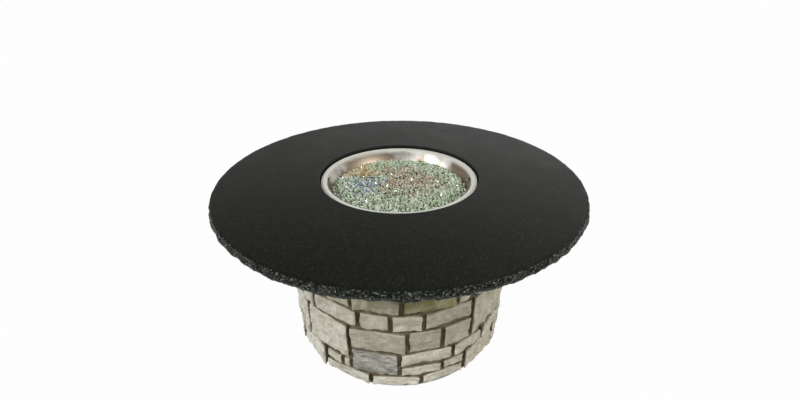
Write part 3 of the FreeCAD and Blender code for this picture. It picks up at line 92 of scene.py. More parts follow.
def linear(colour):
    """A colour written as sRGB hex digits, as the linear values that a shader takes."""
    parts = [int(colour[place : place + 2], 16) / 255 for place in (0, 2, 4)]
    return [
        part / 12.92 if part <= 0.04045 else ((part + 0.055) / 1.055) ** 2.4 for part in parts
    ] + [1.0]


def add_node(tree, kind, settings=None, links=None):
    """Adds a shader node of this kind, sets its properties and sockets, and links sockets to it."""
    node = tree.nodes.new("ShaderNode" + kind)
    for name, value in (settings or {}).items():
        if isinstance(name, str) and hasattr(node, name):
            setattr(node, name, value)
        else:
            node.inputs[name].default_value = value
    for name, source in (links or {}).items():
        tree.links.new(source, node.inputs[name])
    return node


def new_material(name):
    """A material with an empty node tree, and the tree."""
    material = bpy.data.materials.new(name)
    material.use_nodes = True
    material.node_tree.nodes.clear()
    return material, material.node_tree


def end_material(tree, shader):
    add_node(tree, "OutputMaterial", {}, {"Surface": shader.outputs[0]})


def set_ramp(node, stops):
    """Gives a colour ramp its stops: pairs of a place and a hex colour or a grey level."""
    elements = node.color_ramp.elements
    while len(elements) < len(stops):
        elements.new(0.5)
    for element, (place, colour) in zip(elements, stops):
        element.position = place
        element.color = linear(colour) if isinstance(colour, str) else (colour, colour, colour, 1)


bpy.ops.object.select_all(action="DESELECT")
bpy.ops.mesh.primitive_circle_add(vertices=96, radius=FLOOR_RADIUS, fill_type="NGON")
floor = bpy.context.object
floor.name = "patio_floor"
concrete, tree = new_material("sealed pale concrete")
plain_floor = add_node(tree, "BsdfDiffuse", {"Color": linear(FLOOR_COLOUR)})
white = add_node(tree, "Emission", {"Color": (1, 1, 1, 1), "Strength": 1.0})
ray = add_node(tree, "LightPath")
mirrored = add_node(
    tree,
    "Math",
    {"operation": "ADD"},
    {0: ray.outputs["Is Glossy Ray"], 1: ray.outputs["Is Transmission Ray"]},
)
seen = add_node(
    tree,
    "Math",
    {"operation": "ADD", "use_clamp": True},
    {0: mirrored.outputs[0], 1: ray.outputs["Is Camera Ray"]},
)
place = add_node(tree, "TexCoord")
reach = add_node(tree, "VectorMath", {"operation": "LENGTH"}, {0: place.outputs["Object"]})
outside = add_node(
    tree,
    "Math",
    {"operation": "GREATER_THAN", 1: DRUM_RADIUS},
    {0: reach.outputs["Value"]},
)
lit = add_node(
    tree, "Math", {"operation": "MULTIPLY", 1: FLOOR_WHITE}, {0: outside.outputs[0]}
)
share = add_node(
    tree, "Math", {"operation": "MULTIPLY"}, {0: seen.outputs[0], 1: lit.outputs[0]}
)
shader = add_node(
    tree,
    "MixShader",
    {},
    {0: share.outputs[0], 1: plain_floor.outputs[0], 2: white.outputs[0]},
)
end_material(tree, shader)
floor.data.materials.append(concrete)

world = bpy.data.worlds.new("overcast sky")
world.use_nodes = True
bpy.context.scene.world = world
tree = world.node_tree
tree.nodes.clear()
place = add_node(tree, "TexCoord")
split = add_node(tree, "SeparateXYZ", {}, {0: place.outputs["Generated"]})
behind = add_node(
    tree,
    "MapRange",
    {"From Min": RISE_LOW, "From Max": RISE_HIGH, "To Min": SKY_BACK_LOW, "To Max": SKY_BACK_HIGH},
    {"Value": split.outputs["Z"]},
)
level = add_node(
    tree,
    "MapRange",
    {"From Min": TOWARDS_FRONT, "From Max": TOWARDS_BACK, "To Min": SKY_FRONT},
    {"Value": split.outputs["Y"], "To Max": behind.outputs[0]},
)
aside = add_node(
    tree,
    "MapRange",
    {"From Min": -TOWARDS_SIDE, "From Max": TOWARDS_SIDE, "To Min": SKY_LEFT, "To Max": SKY_RIGHT},
    {"Value": split.outputs["X"]},
)
total = add_node(
    tree, "Math", {"operation": "MULTIPLY"}, {0: level.outputs[0], 1: aside.outputs[0]}
)
ray = add_node(tree, "LightPath")
shown = add_node(
    tree, "Math", {"operation": "MAXIMUM"}, {0: total.outputs[0], 1: ray.outputs["Is Camera Ray"]}
)
sky = add_node(tree, "Background", {"Color": (1, 1, 1, 1)}, {"Strength": shown.outputs[0]})
add_node(tree, "OutputWorld", {}, {"Surface": sky.outputs[0]})

LAMPS = (
    # name, strength, angle that the disc fills, turn in degrees
    ("left_lamp", 2.3, 0.12, (53, 0, -60)),
    ("right_lamp", 1.5, 0.14, (52, 0, 59)),
)
for name, strength, spread, turn in LAMPS:
    lamp_data = bpy.data.lights.new(name, "SUN")
    lamp_data.energy = strength
    lamp_data.angle = spread
    lamp = bpy.data.objects.new(name, lamp_data)
    lamp.rotation_euler = [math.radians(angle) for angle in turn]
    bpy.context.scene.collection.objects.link(lamp)

camera_data = bpy.data.cameras.new("camera")
camera_data.sensor_width = SENSOR_WIDTH
camera_data.lens = LENS
camera = bpy.data.objects.new("camera", camera_data)
forward = Vector(CAMERA_FORWARD).normalized()
upward = Vector(CAMERA_UP)
sideways = forward.cross(upward).normalized()
upward = sideways.cross(forward)
axes = Matrix((sideways, upward, -forward)).transposed().to_4x4()
camera.matrix_world = Matrix.Translation(CAMERA_PLACE) @ axes
bpy.context.scene.collection.objects.link(camera)
bpy.context.scene.camera = camera
bpy.context.scene.view_settings.view_transform = "Standard"


# Flexible gas hoses and the two thin leads inside the drum: bought-in lines of a fixed length,
# screwed or pushed onto their fittings. They are drawn as fixed curves that leave each fitting
# straight.
HOSES = (
    # name, diameter, length, stiffness, points along the route
    (
        "supply_hose",
        0.016,
        0.533,
        "medium",
        (
            (0, 0.218, 0.0795),
            (0, 0.12, 0.0795),
            (-0.03, 0.12, 0.21),
            (-0.07, 0.33, 0.33),
            (-0.07, 0.33, 0.424),
        ),
    ),
    (
        "burner_hose",
        0.016,
        0.298,
        "medium",
        ((-0.07, 0.305, 0.44), (-0.07, 0.225, 0.44), (0, 0.11, 0.4209), (0, 0.024, 0.4209)),
    ),
    (
        "ignition_lead",
        0.005,
        0.332,
        "medium",
        (
            (0.07, 0.3, 0.44),
            (0.07, 0.23, 0.44),
            (0.054, 0.095, 0.453),
            (0.054, 0, 0.455),
            (0.054, 0, 0.493),
        ),
    ),
    (
        "thermocouple_lead",
        0.003,
        0.397,
        "stiff",
        (
            (-0.052, 0.33, 0.44),
            (-0.02, 0.33, 0.44),
            (0.008, 0.26, 0.442),
            (0.038, 0.095, 0.453),
            (0.038, 0, 0.455),
            (0.038, 0, 0.493),
        ),
    ),
)
hoses = {}
for name, diameter, length, stiffness, points in HOSES:
    curve = bpy.data.curves.new(name + "_line", "CURVE")
    curve.dimensions = "3D"
    curve.bevel_depth = 1.0
    curve.bevel_resolution = 5
    curve.resolution_u = 16
    curve.use_fill_caps = True
    spline = curve.splines.new("NURBS")
    spline.points.add(len(points) - 1)
    for knot, point in zip(spline.points, points):
        knot.co = (*point, 1)
        knot.radius = diameter / 2
    spline.order_u = 3
    spline.use_endpoint_u = True
    hose = bpy.data.objects.new(name + "_line", curve)
    bpy.context.scene.collection.objects.link(hose)
    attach(hose, "table")
    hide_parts(name)
    hoses[name] = hose

# Finish of the hoses: a braid of fine stainless wire, drawn 4 mm apart so that the wires show. A
# wave pattern of scale 1 has about 3.14 bands in a metre.
braid, tree = new_material("braided stainless wire")
place = add_node(tree, "TexCoord")
WIRE_PITCH = 0.004
BANDS_IN_METRE = 3.14
wires = []
for direction in ("X", "DIAGONAL"):
    wires.append(
        add_node(
            tree,
            "TexWave",
            {
                "bands_direction": direction,
                "Scale": 1 / WIRE_PITCH / BANDS_IN_METRE,
                "Distortion": 1.0,
            },
            {"Vector": place.outputs["Object"]},
        )
    )
crossed = add_node(
    tree, "Math", {"operation": "MULTIPLY"}, {0: wires[0].outputs[1], 1: wires[1].outputs[1]}
)
bump = add_node(tree, "Bump", {"Strength": 0.5, "Distance": 0.0005}, {"Height": crossed.outputs[0]})
shader = add_node(
    tree,
    "BsdfPrincipled",
    {"Base Color": linear("b9b9b6"), "Metallic": 1.0, "Roughness": 0.4},
    {"Normal": bump.outputs[0]},
)
end_material(tree, shader)
for name in ("supply_hose", "burner_hose"):
    hoses[name].data.materials.append(braid)

# Finish of the spark lead: extruded silicone rubber, red-brown and slightly dusty
silicone, tree = new_material("silicone rubber")
place = add_node(tree, "TexCoord")
DUST = 0.0033
dust = add_node(
    tree, "TexNoise", {"Scale": 1 / DUST, "Detail": 4.0}, {"Vector": place.outputs["Object"]}
)
shade = add_node(tree, "ValToRGB", {}, {0: dust.outputs["Fac"]})
set_ramp(shade, [(0.3, "7d3427"), (0.7, "944536")])
shader = add_node(
    tree, "BsdfPrincipled", {"Roughness": 0.55}, {"Base Color": shade.outputs[0]}
)
end_material(tree, shader)
hoses["ignition_lead"].data.materials.append(silicone)


# Rubber pads under the bottom ring: moulded black rubber discs, glued on, that keep the steel
# off the floor. They look dull, with dust in the pores.
rubber, tree = new_material("moulded black rubber")
place = add_node(tree, "TexCoord")
PORES = 0.0017
pores = add_node(
    tree, "TexNoise", {"Scale": 1 / PORES, "Detail": 5.0}, {"Vector": place.outputs["Object"]}
)
shade = add_node(tree, "ValToRGB", {}, {0: pores.outputs["Fac"]})
set_ramp(shade, [(0.35, "191918"), (0.75, "2c2b29")])
bump = add_node(
    tree, "Bump", {"Strength": 0.4, "Distance": 0.0004}, {"Height": pores.outputs["Fac"]}
)
shader = add_node(
    tree,
    "BsdfPrincipled",
    {"Roughness": 0.8},
    {"Base Color": shade.outputs[0], "Normal": bump.outputs[0]},
)
end_material(tree, shader)


def finish(material, *names):
    """Gives CAD nodes this material."""
    for name in names:
        nodes[name].material_slots[0].material = material


finish(rubber, "foot_pads")


# Steel frame of the drum: two rolled angle rings with folded channel studs between them, all
# hot-dip galvanised, which leaves grey crystals about 8 mm across. The catch's strike plate and
# the igniter's nut have the same coat.
galvanised, tree = new_material("galvanised steel")
place = add_node(tree, "TexCoord")
SPANGLE = 0.008
spangle = add_node(tree, "TexVoronoi", {"Scale": 1 / SPANGLE}, {"Vector": place.outputs["Object"]})
grey = add_node(tree, "SeparateColor", {}, {0: spangle.outputs["Color"]})
shade = add_node(tree, "ValToRGB", {}, {0: grey.outputs[0]})
set_ramp(shade, [(0.0, "90949a"), (1.0, "b4b8ba")])
rough = add_node(
    tree, "MapRange", {"To Min": 0.35, "To Max": 0.55}, {"Value": grey.outputs[1]}
)
shader = add_node(
    tree,
    "BsdfPrincipled",
    {"Metallic": 1.0},
    {"Base Color": shade.outputs[0], "Roughness": rough.outputs[0]},
)
end_material(tree, shader)
finish(
    galvanised,
    "top_ring",
    "bottom_ring",
    "studs_front",
    "studs_front_side",
    "studs_rear_side",
    "studs_door",
    "catch_strike",
    "igniter_nut",
)


# Cement backer boards: grey fibre-cement sheets bent round the studs, with a glass mesh on
# both faces whose threads are drawn 10 mm apart so that they show.
board, tree = new_material("fibre cement board")
place = add_node(tree, "TexCoord")
THREADS = 0.01
BOARD_CLOUD = 0.025
threads = add_node(
    tree,
    "TexWave",
    {"bands_direction": "Z", "Scale": 1 / THREADS / BANDS_IN_METRE, "Distortion": 0.6},
    {"Vector": place.outputs["Object"]},
)
clouds = add_node(
    tree,
    "TexNoise",
    {"Scale": 1 / BOARD_CLOUD, "Detail": 6.0},
    {"Vector": place.outputs["Object"]},
)
shade = add_node(tree, "ValToRGB", {}, {0: clouds.outputs["Fac"]})
set_ramp(shade, [(0.3, "85837d"), (0.7, "a09e97")])
bump = add_node(tree, "Bump", {"Strength": 0.4, "Distance": 0.0006}, {"Height": threads.outputs[1]})
shader = add_node(
    tree,
    "BsdfPrincipled",
    {"Roughness": 0.9},
    {"Base Color": shade.outputs[0], "Normal": bump.outputs[0]},
)
end_material(tree, shader)
finish(
    board,
    "backer_board_front_right",
    "backer_board_rear_right",
    "backer_board_rear_left",
    "backer_board_front_left",
)


# Mortar: a sand and cement bed with joints raked back about 10 mm behind the stone faces. It
# is trowelled by hand, so its face wanders by a millimetre or two.
MORTAR_FACE = 0.3815
MORTAR_BED = 0.012
MORTAR_ROW = 0.0075
MORTAR_STEPS = 400
MORTAR_THICK = 0.02
WANDER_SIZE = 0.03
WANDER_DEPTH = 0.004
TROWEL_SIZE = 0.007
TROWEL_DEPTH = 0.002
DOOR_HALF = 0.165
DOOR_LOW = 0.102
DOOR_HIGH = 0.485
VENT_HALF = 0.075
VENT_HIGH = 0.256


def turned(name, profile, segments):
    """A shape of revolution: a circle drawn out step by step through (radius, height) points."""
    bpy.ops.object.select_all(action="DESELECT")
    radius, height = profile[0]
    bpy.ops.mesh.primitive_circle_add(vertices=segments, radius=radius)
    piece = bpy.context.object
    piece.name = name
    bpy.ops.object.mode_set(mode="EDIT")
    bpy.ops.mesh.select_mode(type="VERT")
    bpy.ops.mesh.select_all(action="SELECT")
    bpy.ops.transform.translate(value=(0, 0, height))
    for (_, low), (wide, high) in zip(profile, profile[1:]):
        bpy.ops.mesh.extrude_region_move(TRANSFORM_OT_translate={"value": (0, 0, high - low)})
        scale = wide / radius
        bpy.ops.transform.resize(value=(scale, scale, 1), center_override=(0, 0, 0))
        radius = wide
    return piece


def displace(piece, kind, size, depth, middle=0.5, group=""):
    """Moves the surface of a piece along its normals by a fine or coarse pattern."""
    pattern = bpy.data.textures.new(piece.name + "_" + kind.lower(), kind)
    pattern.noise_scale = size
    change = piece.modifiers.new("displace", "DISPLACE")
    change.texture = pattern
    change.texture_coords = "LOCAL"
    change.strength = depth
    change.mid_level = middle
    change.vertex_group = group
    with bpy.context.temp_override(object=piece, active_object=piece, selected_objects=[piece]):
        bpy.ops.object.modifier_apply(modifier=change.name)


def select_faces(piece, wanted):
    """In edit mode, selects the faces whose centre passes the test, and no others."""
    bpy.ops.mesh.select_mode(type="FACE")
    bpy.ops.mesh.select_all(action="DESELECT")
    bpy.ops.object.mode_set(mode="OBJECT")
    for face in piece.data.polygons:
        face.select = wanted(face.center)
    bpy.ops.object.mode_set(mode="EDIT")


def in_opening(point):
    """Whether a point of the wall lies in the doorway or in one of the two vents."""
    in_door = point.y > 0 and abs(point.x) < DOOR_HALF and DOOR_LOW < point.z < DOOR_HIGH
    in_vent = abs(point.y) < VENT_HALF and DOOR_LOW < point.z < VENT_HIGH
    return in_door or in_vent


under_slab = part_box("mortar")[1].z
rows = round((under_slab - MORTAR_BED) / MORTAR_ROW)
mortar = turned(
    "mortar_bed",
    [(MORTAR_FACE, MORTAR_BED + (under_slab - MORTAR_BED) * row / rows) for row in range(rows + 1)],
    MORTAR_STEPS,
)
select_faces(mortar, in_opening)
bpy.ops.mesh.delete(type="FACE")
bpy.ops.mesh.select_all(action="SELECT")
bpy.ops.mesh.normals_make_consistent(inside=False)
bpy.ops.object.mode_set(mode="OBJECT")
displace(mortar, "CLOUDS", WANDER_SIZE, WANDER_DEPTH)
displace(mortar, "CLOUDS", TROWEL_SIZE, TROWEL_DEPTH)
wall = mortar.modifiers.new("bed", "SOLIDIFY")
wall.thickness = MORTAR_THICK
wall.offset = -1
with bpy.context.temp_override(object=mortar, active_object=mortar, selected_objects=[mortar]):
    bpy.ops.object.modifier_apply(modifier=wall.name)
bpy.ops.object.select_all(action="DESELECT")
mortar.select_set(True)
bpy.context.view_layer.objects.active = mortar
bpy.ops.object.shade_smooth()

# Finish of the mortar: grains of sand about 1.5 mm across in an olive-brown paste
joint, tree = new_material("sand and cement mortar")
place = add_node(tree, "TexCoord")
SAND = 0.0015
MORTAR_CLOUD = 0.04
clouds = add_node(
    tree,
    "TexNoise",
    {"Scale": 1 / MORTAR_CLOUD, "Detail": 5.0},
    {"Vector": place.outputs["Object"]},
)
sand = add_node(tree, "TexVoronoi", {"Scale": 1 / SAND}, {"Vector": place.outputs["Object"]})
grain = add_node(tree, "SeparateColor", {}, {0: sand.outputs["Color"]})
shade = add_node(tree, "ValToRGB", {}, {0: clouds.outputs["Fac"]})
set_ramp(shade, [(0.3, "5a553f"), (0.5, "767057"), (0.7, "918a6e")])
speck = add_node(
    tree,
    "Mix",
    {"data_type": "RGBA", "blend_type": "MULTIPLY", 0: 0.25},
    {6: shade.outputs[0], 7: sand.outputs["Color"]},
)
bump = add_node(tree, "Bump", {"Strength": 0.8, "Distance": 0.001}, {"Height": grain.outputs[0]})
shader = add_node(
    tree,
    "BsdfPrincipled",
    {"Roughness": 0.95, "Specular IOR Level": 0.2},
    {"Base Color": speck.outputs[2], "Normal": bump.outputs[0]},
)
end_material(tree, shader)
mortar.data.materials.append(joint)
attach(mortar, "table")
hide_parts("mortar")


# Stones: hand-split limestone laid as random ashlar in eight courses. Each block has a rough
# split face, edges knocked off by the hammer, and its own tone from the bed it came from; painted
# light makes the low and left blocks paler, and painted shade darkens front blocks under the slab.
STONE_VOXEL = 0.004
FACE_START = 0.3
FACE_WHOLE = 0.75
SIDE_SHARE = 0.2
SPLIT_SWELL = 0.0075
SWELL_SIZE = 0.05
SPLIT_FACETS = 0.007
FACET_SIZE = 0.032
SPLIT_GRAIN = 0.0024
GRAIN_SIZE = 0.009
SIDE_LOSS = 0.005
LOSS_SIZE = 0.03
SIDE_CHIPS = 0.003
CHIP_SIZE = 0.012
BOTH_WAYS = 0.5
INWARDS = 1.0
ROUGHER_FROM = 25
ROUGHER_TO = 55
ROUGHER_END = 125
ROUGHER_GREY = 1.7
ROUGHER_ASIDE = 0.6
SWELL_OUTWARD = 0.2
FACETS_OUTWARD = 0.1
MERGE_DISTANCE = 0.00002
STONE_TONES_AND_SHADE = (
    # course, angle of the stone's middle, shares of grey, green stain and tan
    (2, -12, (1, 0, 0)),
    # Course 6, under the slab: more grey and stain darken these blocks, partly their own tone and
    # partly painted shade of the slab.
    (6, -11, (0.5, 0.5, 0)),
    (6, 14, (0.1, 1, 0)),
    (6, -29, (0.25, 0.35, 0)),
    (5, 24, (0.3, 0.25, 0)),
    (4, -8, (0.45, 0.2, 0)),
    (4, 12, (0.55, 0.25, 0)),
    (4, 26, (0.4, 0.2, 0.1)),
    (1, 22, (0, 0, 0.6)),
    (1, 46, (0, 0, 1)),
    (3, 54, (0, 0, 0.5)),
    (2, 27, (0, 0, 0.6)),
    (4, 50, (0, 0, 0.15)),
)
FIELD_TONES = (
    (0, 0, 0),
    (0, 0, 0),
    (0.2, 0, 0.1),
    (0.35, 0, 0),
    (0, 0.2, 0.1),
    (0, 0, 0.7),
    (0.1, 0, 0.4),
    (0.8, 0, 0),
)
SAME_STONE = 6
SEEN_ANGLE = 70
SEEN_SHARE = 0.3
# Paleness for each course from the bottom, partly painted light: the low courses are painted paler
# as if lit by the floor, and blocks on the left paler as if lit from the left. The spread is each
# block's own tone.
PALE_AND_BOUNCE_COURSES = (0.8, 0.7, 0.55, 0.05, 0.35, 0.1, 0.1, 0.1)
PAINTED_LEFT_LIGHT = 0.25
PAINTED_LEFT_LIGHT_FROM = 25
PAINTED_LEFT_LIGHT_OVER = 20
PALE_SPREAD = 0.2
PATTERN_SHIFT = 9
SMEAR_START = 0.6
FRAME_MARGIN = 0.01
tones = random.Random(31)


def near_frame(point):
    """Whether a point of a stone is next to the door frame or a vent."""
    by_door = point.y > 0 and abs(point.x) < DOOR_HALF + FRAME_MARGIN
    by_door = by_door and DOOR_LOW - FRAME_MARGIN < point.z < DOOR_HIGH + FRAME_MARGIN
    by_vent = abs(point.y) < VENT_HALF + FRAME_MARGIN
    by_vent = by_vent and DOOR_LOW - FRAME_MARGIN < point.z < VENT_HIGH + FRAME_MARGIN
    return by_door or by_vent


def loose_copies(node, name):
    """A copy of a CAD node with its corners merged, taken apart into its separate solids."""
    bpy.ops.object.select_all(action="DESELECT")
    copy = nodes[node].copy()
    copy.data = nodes[node].data.copy()
    copy.parent = None
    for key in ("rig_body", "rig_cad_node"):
        del copy[key]
    copy.name = name
    bpy.context.scene.collection.objects.link(copy)
    copy.select_set(True)
    bpy.context.view_layer.objects.active = copy
    bpy.ops.object.mode_set(mode="EDIT")
    bpy.ops.mesh.select_all(action="SELECT")
    bpy.ops.mesh.remove_doubles(threshold=MERGE_DISTANCE)
    bpy.ops.mesh.separate(type="LOOSE")
    bpy.ops.object.mode_set(mode="OBJECT")
    return list(bpy.context.selected_objects)


def join_pieces(pieces, name):
    """Joins pieces into one object of this name."""
    bpy.ops.object.select_all(action="DESELECT")
    for piece in pieces:
        piece.select_set(True)
    bpy.context.view_layer.objects.active = pieces[0]
    bpy.ops.object.join()
    pieces[0].name = name
    return pieces[0]


# Finish of the stones: fine-grained limestone, cream to grey in beds about 10 mm thick, with pits,
# stains and a tone for each block; painted light makes the low and left blocks paler, and painted
# shade darkens the course-6 blocks in front. The hammer leaves flakes about 25 mm across, deepest
# on the pale blocks, and mortar is smeared on their sides. Patterns are given as numbers in a
# metre.
BLOTCHES = 22.0
GRAINS = 260.0
PITS = 170.0
FLAKES = 42.0
FAINT_BEDS = (16, 16, 95)
GREY_BEDS = (15, 15, 100)
FLAKE_DEPTH = 7.0
FLAKE_LEAST = 0.2
limestone, tree = new_material("split limestone")
place = add_node(tree, "TexCoord")
# Shares of grey, stain and tan; on the course-6 front blocks they include painted shade of the
# slab.
tone_and_shade = add_node(tree, "Attribute", {"attribute_name": "tone_and_shade"})
shares = add_node(tree, "SeparateXYZ", {}, {0: tone_and_shade.outputs["Vector"]})
shift = add_node(tree, "Attribute", {"attribute_name": "shift"})
moved = add_node(
    tree, "VectorMath", {}, {0: place.outputs["Object"], 1: shift.outputs["Vector"]}
)
beds_place = add_node(tree, "Mapping", {"Scale": FAINT_BEDS}, {"Vector": moved.outputs[0]})
beds = add_node(tree, "TexNoise", {"Scale": 1.0, "Detail": 5.0}, {"Vector": beds_place.outputs[0]})
clouds = add_node(
    tree, "TexNoise", {"Scale": BLOTCHES, "Detail": 7.0}, {"Vector": moved.outputs[0]}
)
grain = add_node(
    tree,
    "TexNoise",
    {"Scale": GRAINS, "Detail": 6.0, "Roughness": 0.7},
    {"Vector": moved.outputs[0]},
)
pits = add_node(tree, "TexVoronoi", {"Scale": PITS}, {"Vector": moved.outputs[0]})
strata_place = add_node(tree, "Mapping", {"Scale": GREY_BEDS}, {"Vector": moved.outputs[0]})
strata = add_node(
    tree,
    "TexNoise",
    {"Scale": 1.0, "Detail": 5.0, "Distortion": 0.8},
    {"Vector": strata_place.outputs[0]},
)
cream = add_node(tree, "ValToRGB", {}, {0: clouds.outputs["Fac"]})
set_ramp(cream, [(0.28, "9f9984"), (0.5, "b4ae9a"), (0.72, "c8c3b3")])
grey = add_node(tree, "ValToRGB", {}, {0: strata.outputs["Fac"]})
set_ramp(grey, [(0.32, "76746e"), (0.5, "a09e95"), (0.68, "bdbbb1")])
stained = add_node(tree, "ValToRGB", {}, {0: clouds.outputs["Fac"]})
set_ramp(stained, [(0.35, "7a7448"), (0.65, "a9a484")])
tan = add_node(tree, "ValToRGB", {}, {0: clouds.outputs["Fac"]})
set_ramp(tan, [(0.3, "bab29c"), (0.7, "d6d0be")])
# Pale share, partly painted light: it mixes the low and left blocks towards a pale cream as if lit.
pale_and_painted_light = add_node(tree, "Attribute", {"attribute_name": "pale_and_painted_light"})
pale_and_lit_cream = add_node(tree, "ValToRGB", {}, {0: clouds.outputs["Fac"]})
set_ramp(pale_and_lit_cream, [(0.3, "c3bfac"), (0.55, "dad7ca"), (0.75, "e4e1d8")])
paler_and_painted_light = add_node(
    tree,
    "Mix",
    {"data_type": "RGBA"},
    {0: pale_and_painted_light.outputs["Fac"], 6: cream.outputs[0], 7: pale_and_lit_cream.outputs[0]},
)
colour = paler_and_painted_light.outputs[2]
for axis, other in (("X", grey), ("Y", stained), ("Z", tan)):
    mixed = add_node(
        tree,
        "Mix",
        {"data_type": "RGBA"},
        {0: shares.outputs[axis], 6: colour, 7: other.outputs[0]},
    )
    colour = mixed.outputs[2]
lines = add_node(tree, "ValToRGB", {}, {0: beds.outputs["Fac"]})
set_ramp(lines, [(0.3, 0.7), (0.45, 1.0), (0.7, 0.9)])
banded = add_node(
    tree,
    "Mix",
    {"data_type": "RGBA", "blend_type": "MULTIPLY", 0: 0.5},
    {6: colour, 7: lines.outputs[0]},
)
speckle = add_node(tree, "ValToRGB", {}, {0: grain.outputs["Fac"]})
set_ramp(speckle, [(0.35, 0.62), (0.6, 1.08)])
speckled = add_node(
    tree,
    "Mix",
    {"data_type": "RGBA", "blend_type": "MULTIPLY", 0: 0.6},
    {6: banded.outputs[2], 7: speckle.outputs[0]},
)
smear = add_node(tree, "Attribute", {"attribute_name": "smear"})
smeared = add_node(
    tree,
    "Mix",
    {"data_type": "RGBA", 7: linear("7d765e")},
    {0: smear.outputs["Fac"], 6: speckled.outputs[2]},
)
depth = add_node(
    tree, "Math", {"operation": "ADD"}, {0: grain.outputs["Fac"], 1: beds.outputs["Fac"]}
)
deep = add_node(
    tree, "Math", {"operation": "ADD"}, {0: depth.outputs[0], 1: pits.outputs["Distance"]}
)
flakes = add_node(tree, "TexVoronoi", {"Scale": FLAKES}, {"Vector": moved.outputs[0]})
flake_depth = add_node(
    tree,
    "MapRange",
    {"To Min": FLAKE_LEAST * FLAKE_DEPTH, "To Max": FLAKE_DEPTH},
    {"Value": pale_and_painted_light.outputs["Fac"]},
)
flaked = add_node(
    tree,
    "Math",
    {"operation": "MULTIPLY_ADD"},
    {0: flakes.outputs["Distance"], 1: flake_depth.outputs[0], 2: deep.outputs[0]},
)
bump = add_node(tree, "Bump", {"Strength": 0.8, "Distance": 0.002}, {"Height": flaked.outputs[0]})
shader = add_node(
    tree,
    "BsdfPrincipled",
    {"Roughness": 0.88, "Specular IOR Level": 0.3},
    {"Base Color": smeared.outputs[2], "Normal": bump.outputs[0]},
)
end_material(tree, shader)


def set_attribute(piece, name, kind, value):
    """Stores the same value at every point of a piece."""
    layer = piece.data.attributes.new(name, kind, "POINT")
    key = "value" if kind == "FLOAT" else "vector"
    for item in layer.data:
        setattr(item, key, value)


def angle_of(stone):
    """Angle of a stone's middle round the drum, in degrees from the front, growing to the right."""
    middle = sum((Vector(corner) for corner in stone.bound_box), Vector()) / 8
    return math.degrees(math.atan2(middle.x, -middle.y))


for course, course_pale_and_bounce in enumerate(PALE_AND_BOUNCE_COURSES, start=1):
    node = "stone_course_%d" % course
    stones = loose_copies(node, "split_stones_%d" % course)
    stones.sort(key=angle_of)
    for stone in stones:
        angle = angle_of(stone)
        known = [
            shares
            for row, place, shares in STONE_TONES_AND_SHADE
            if row == course and abs(place - angle) < SAME_STONE
        ]
        # The shares of the course-6 front blocks also paint the slab's shade on them.
        stone_tone_and_shade = known[0] if known else tones.choice(FIELD_TONES)
        if not known and abs(angle) < SEEN_ANGLE:
            stone_tone_and_shade = [share * tones.uniform(0, SEEN_SHARE) for share in stone_tone_and_shade]
        stone.data.remesh_voxel_size = STONE_VOXEL
        bpy.ops.object.select_all(action="DESELECT")
        stone.select_set(True)
        bpy.context.view_layer.objects.active = stone
        bpy.ops.object.voxel_remesh()
        face = stone.vertex_groups.new(name="face")
        sides = stone.vertex_groups.new(name="sides")
        smears = []
        for vertex in stone.data.vertices:
            facing = vertex.normal.dot(Vector((vertex.co.x, vertex.co.y, 0)).normalized())
            smears.append(min(1, max(0, (SMEAR_START - facing) / SMEAR_START)))
            if near_frame(vertex.co):
                continue
            weight = min(1, max(SIDE_SHARE, (facing - FACE_START) / (FACE_WHOLE - FACE_START)))
            face.add([vertex.index], weight, "ADD")
            sides.add([vertex.index], 1 - weight, "ADD")
        aside = min(1, max(0, (abs(angle) - ROUGHER_FROM) / (ROUGHER_TO - ROUGHER_FROM)))
        aside = 0 if abs(angle) > ROUGHER_END else aside
        rougher = ROUGHER_GREY if stone_tone_and_shade[0] == 1 else 1 + ROUGHER_ASIDE * aside
        swell_middle = BOTH_WAYS - SWELL_OUTWARD * aside
        facet_middle = BOTH_WAYS - FACETS_OUTWARD * aside
        displace(stone, "CLOUDS", SWELL_SIZE, SPLIT_SWELL * rougher, swell_middle, "face")
        displace(stone, "VORONOI", FACET_SIZE, SPLIT_FACETS * rougher, facet_middle, "face")
        displace(stone, "CLOUDS", GRAIN_SIZE, SPLIT_GRAIN * rougher, BOTH_WAYS, "face")
        displace(stone, "CLOUDS", LOSS_SIZE, SIDE_LOSS, INWARDS, "sides")
        displace(stone, "CLOUDS", CHIP_SIZE, SIDE_CHIPS, INWARDS, "sides")
        stone.data.attributes.new("smear", "FLOAT", "POINT").data.foreach_set("value", smears)
        # Paleness of this block: painted light from the floor on low courses and from the left on
        # left blocks, with its own random tone.
        painted_left_light_share = min(1, max(0, (-angle - PAINTED_LEFT_LIGHT_FROM) / PAINTED_LEFT_LIGHT_OVER))
        spread = tones.uniform(-PALE_SPREAD, PALE_SPREAD)
        pale_and_painted_light = course_pale_and_bounce + PAINTED_LEFT_LIGHT * painted_left_light_share + spread
        set_attribute(stone, "pale_and_painted_light", "FLOAT", min(1, max(0, pale_and_painted_light)))
        set_attribute(stone, "tone_and_shade", "FLOAT_VECTOR", stone_tone_and_shade)
        shift_by = [tones.uniform(-PATTERN_SHIFT, PATTERN_SHIFT) for _ in range(3)]
        set_attribute(stone, "shift", "FLOAT_VECTOR", shift_by)
        stone.data.materials.clear()
        stone.data.materials.append(limestone)
    row = join_pieces(stones, "split_stones_%d" % course)
    bpy.ops.object.shade_smooth()
    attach(row, "table")
    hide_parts(node)


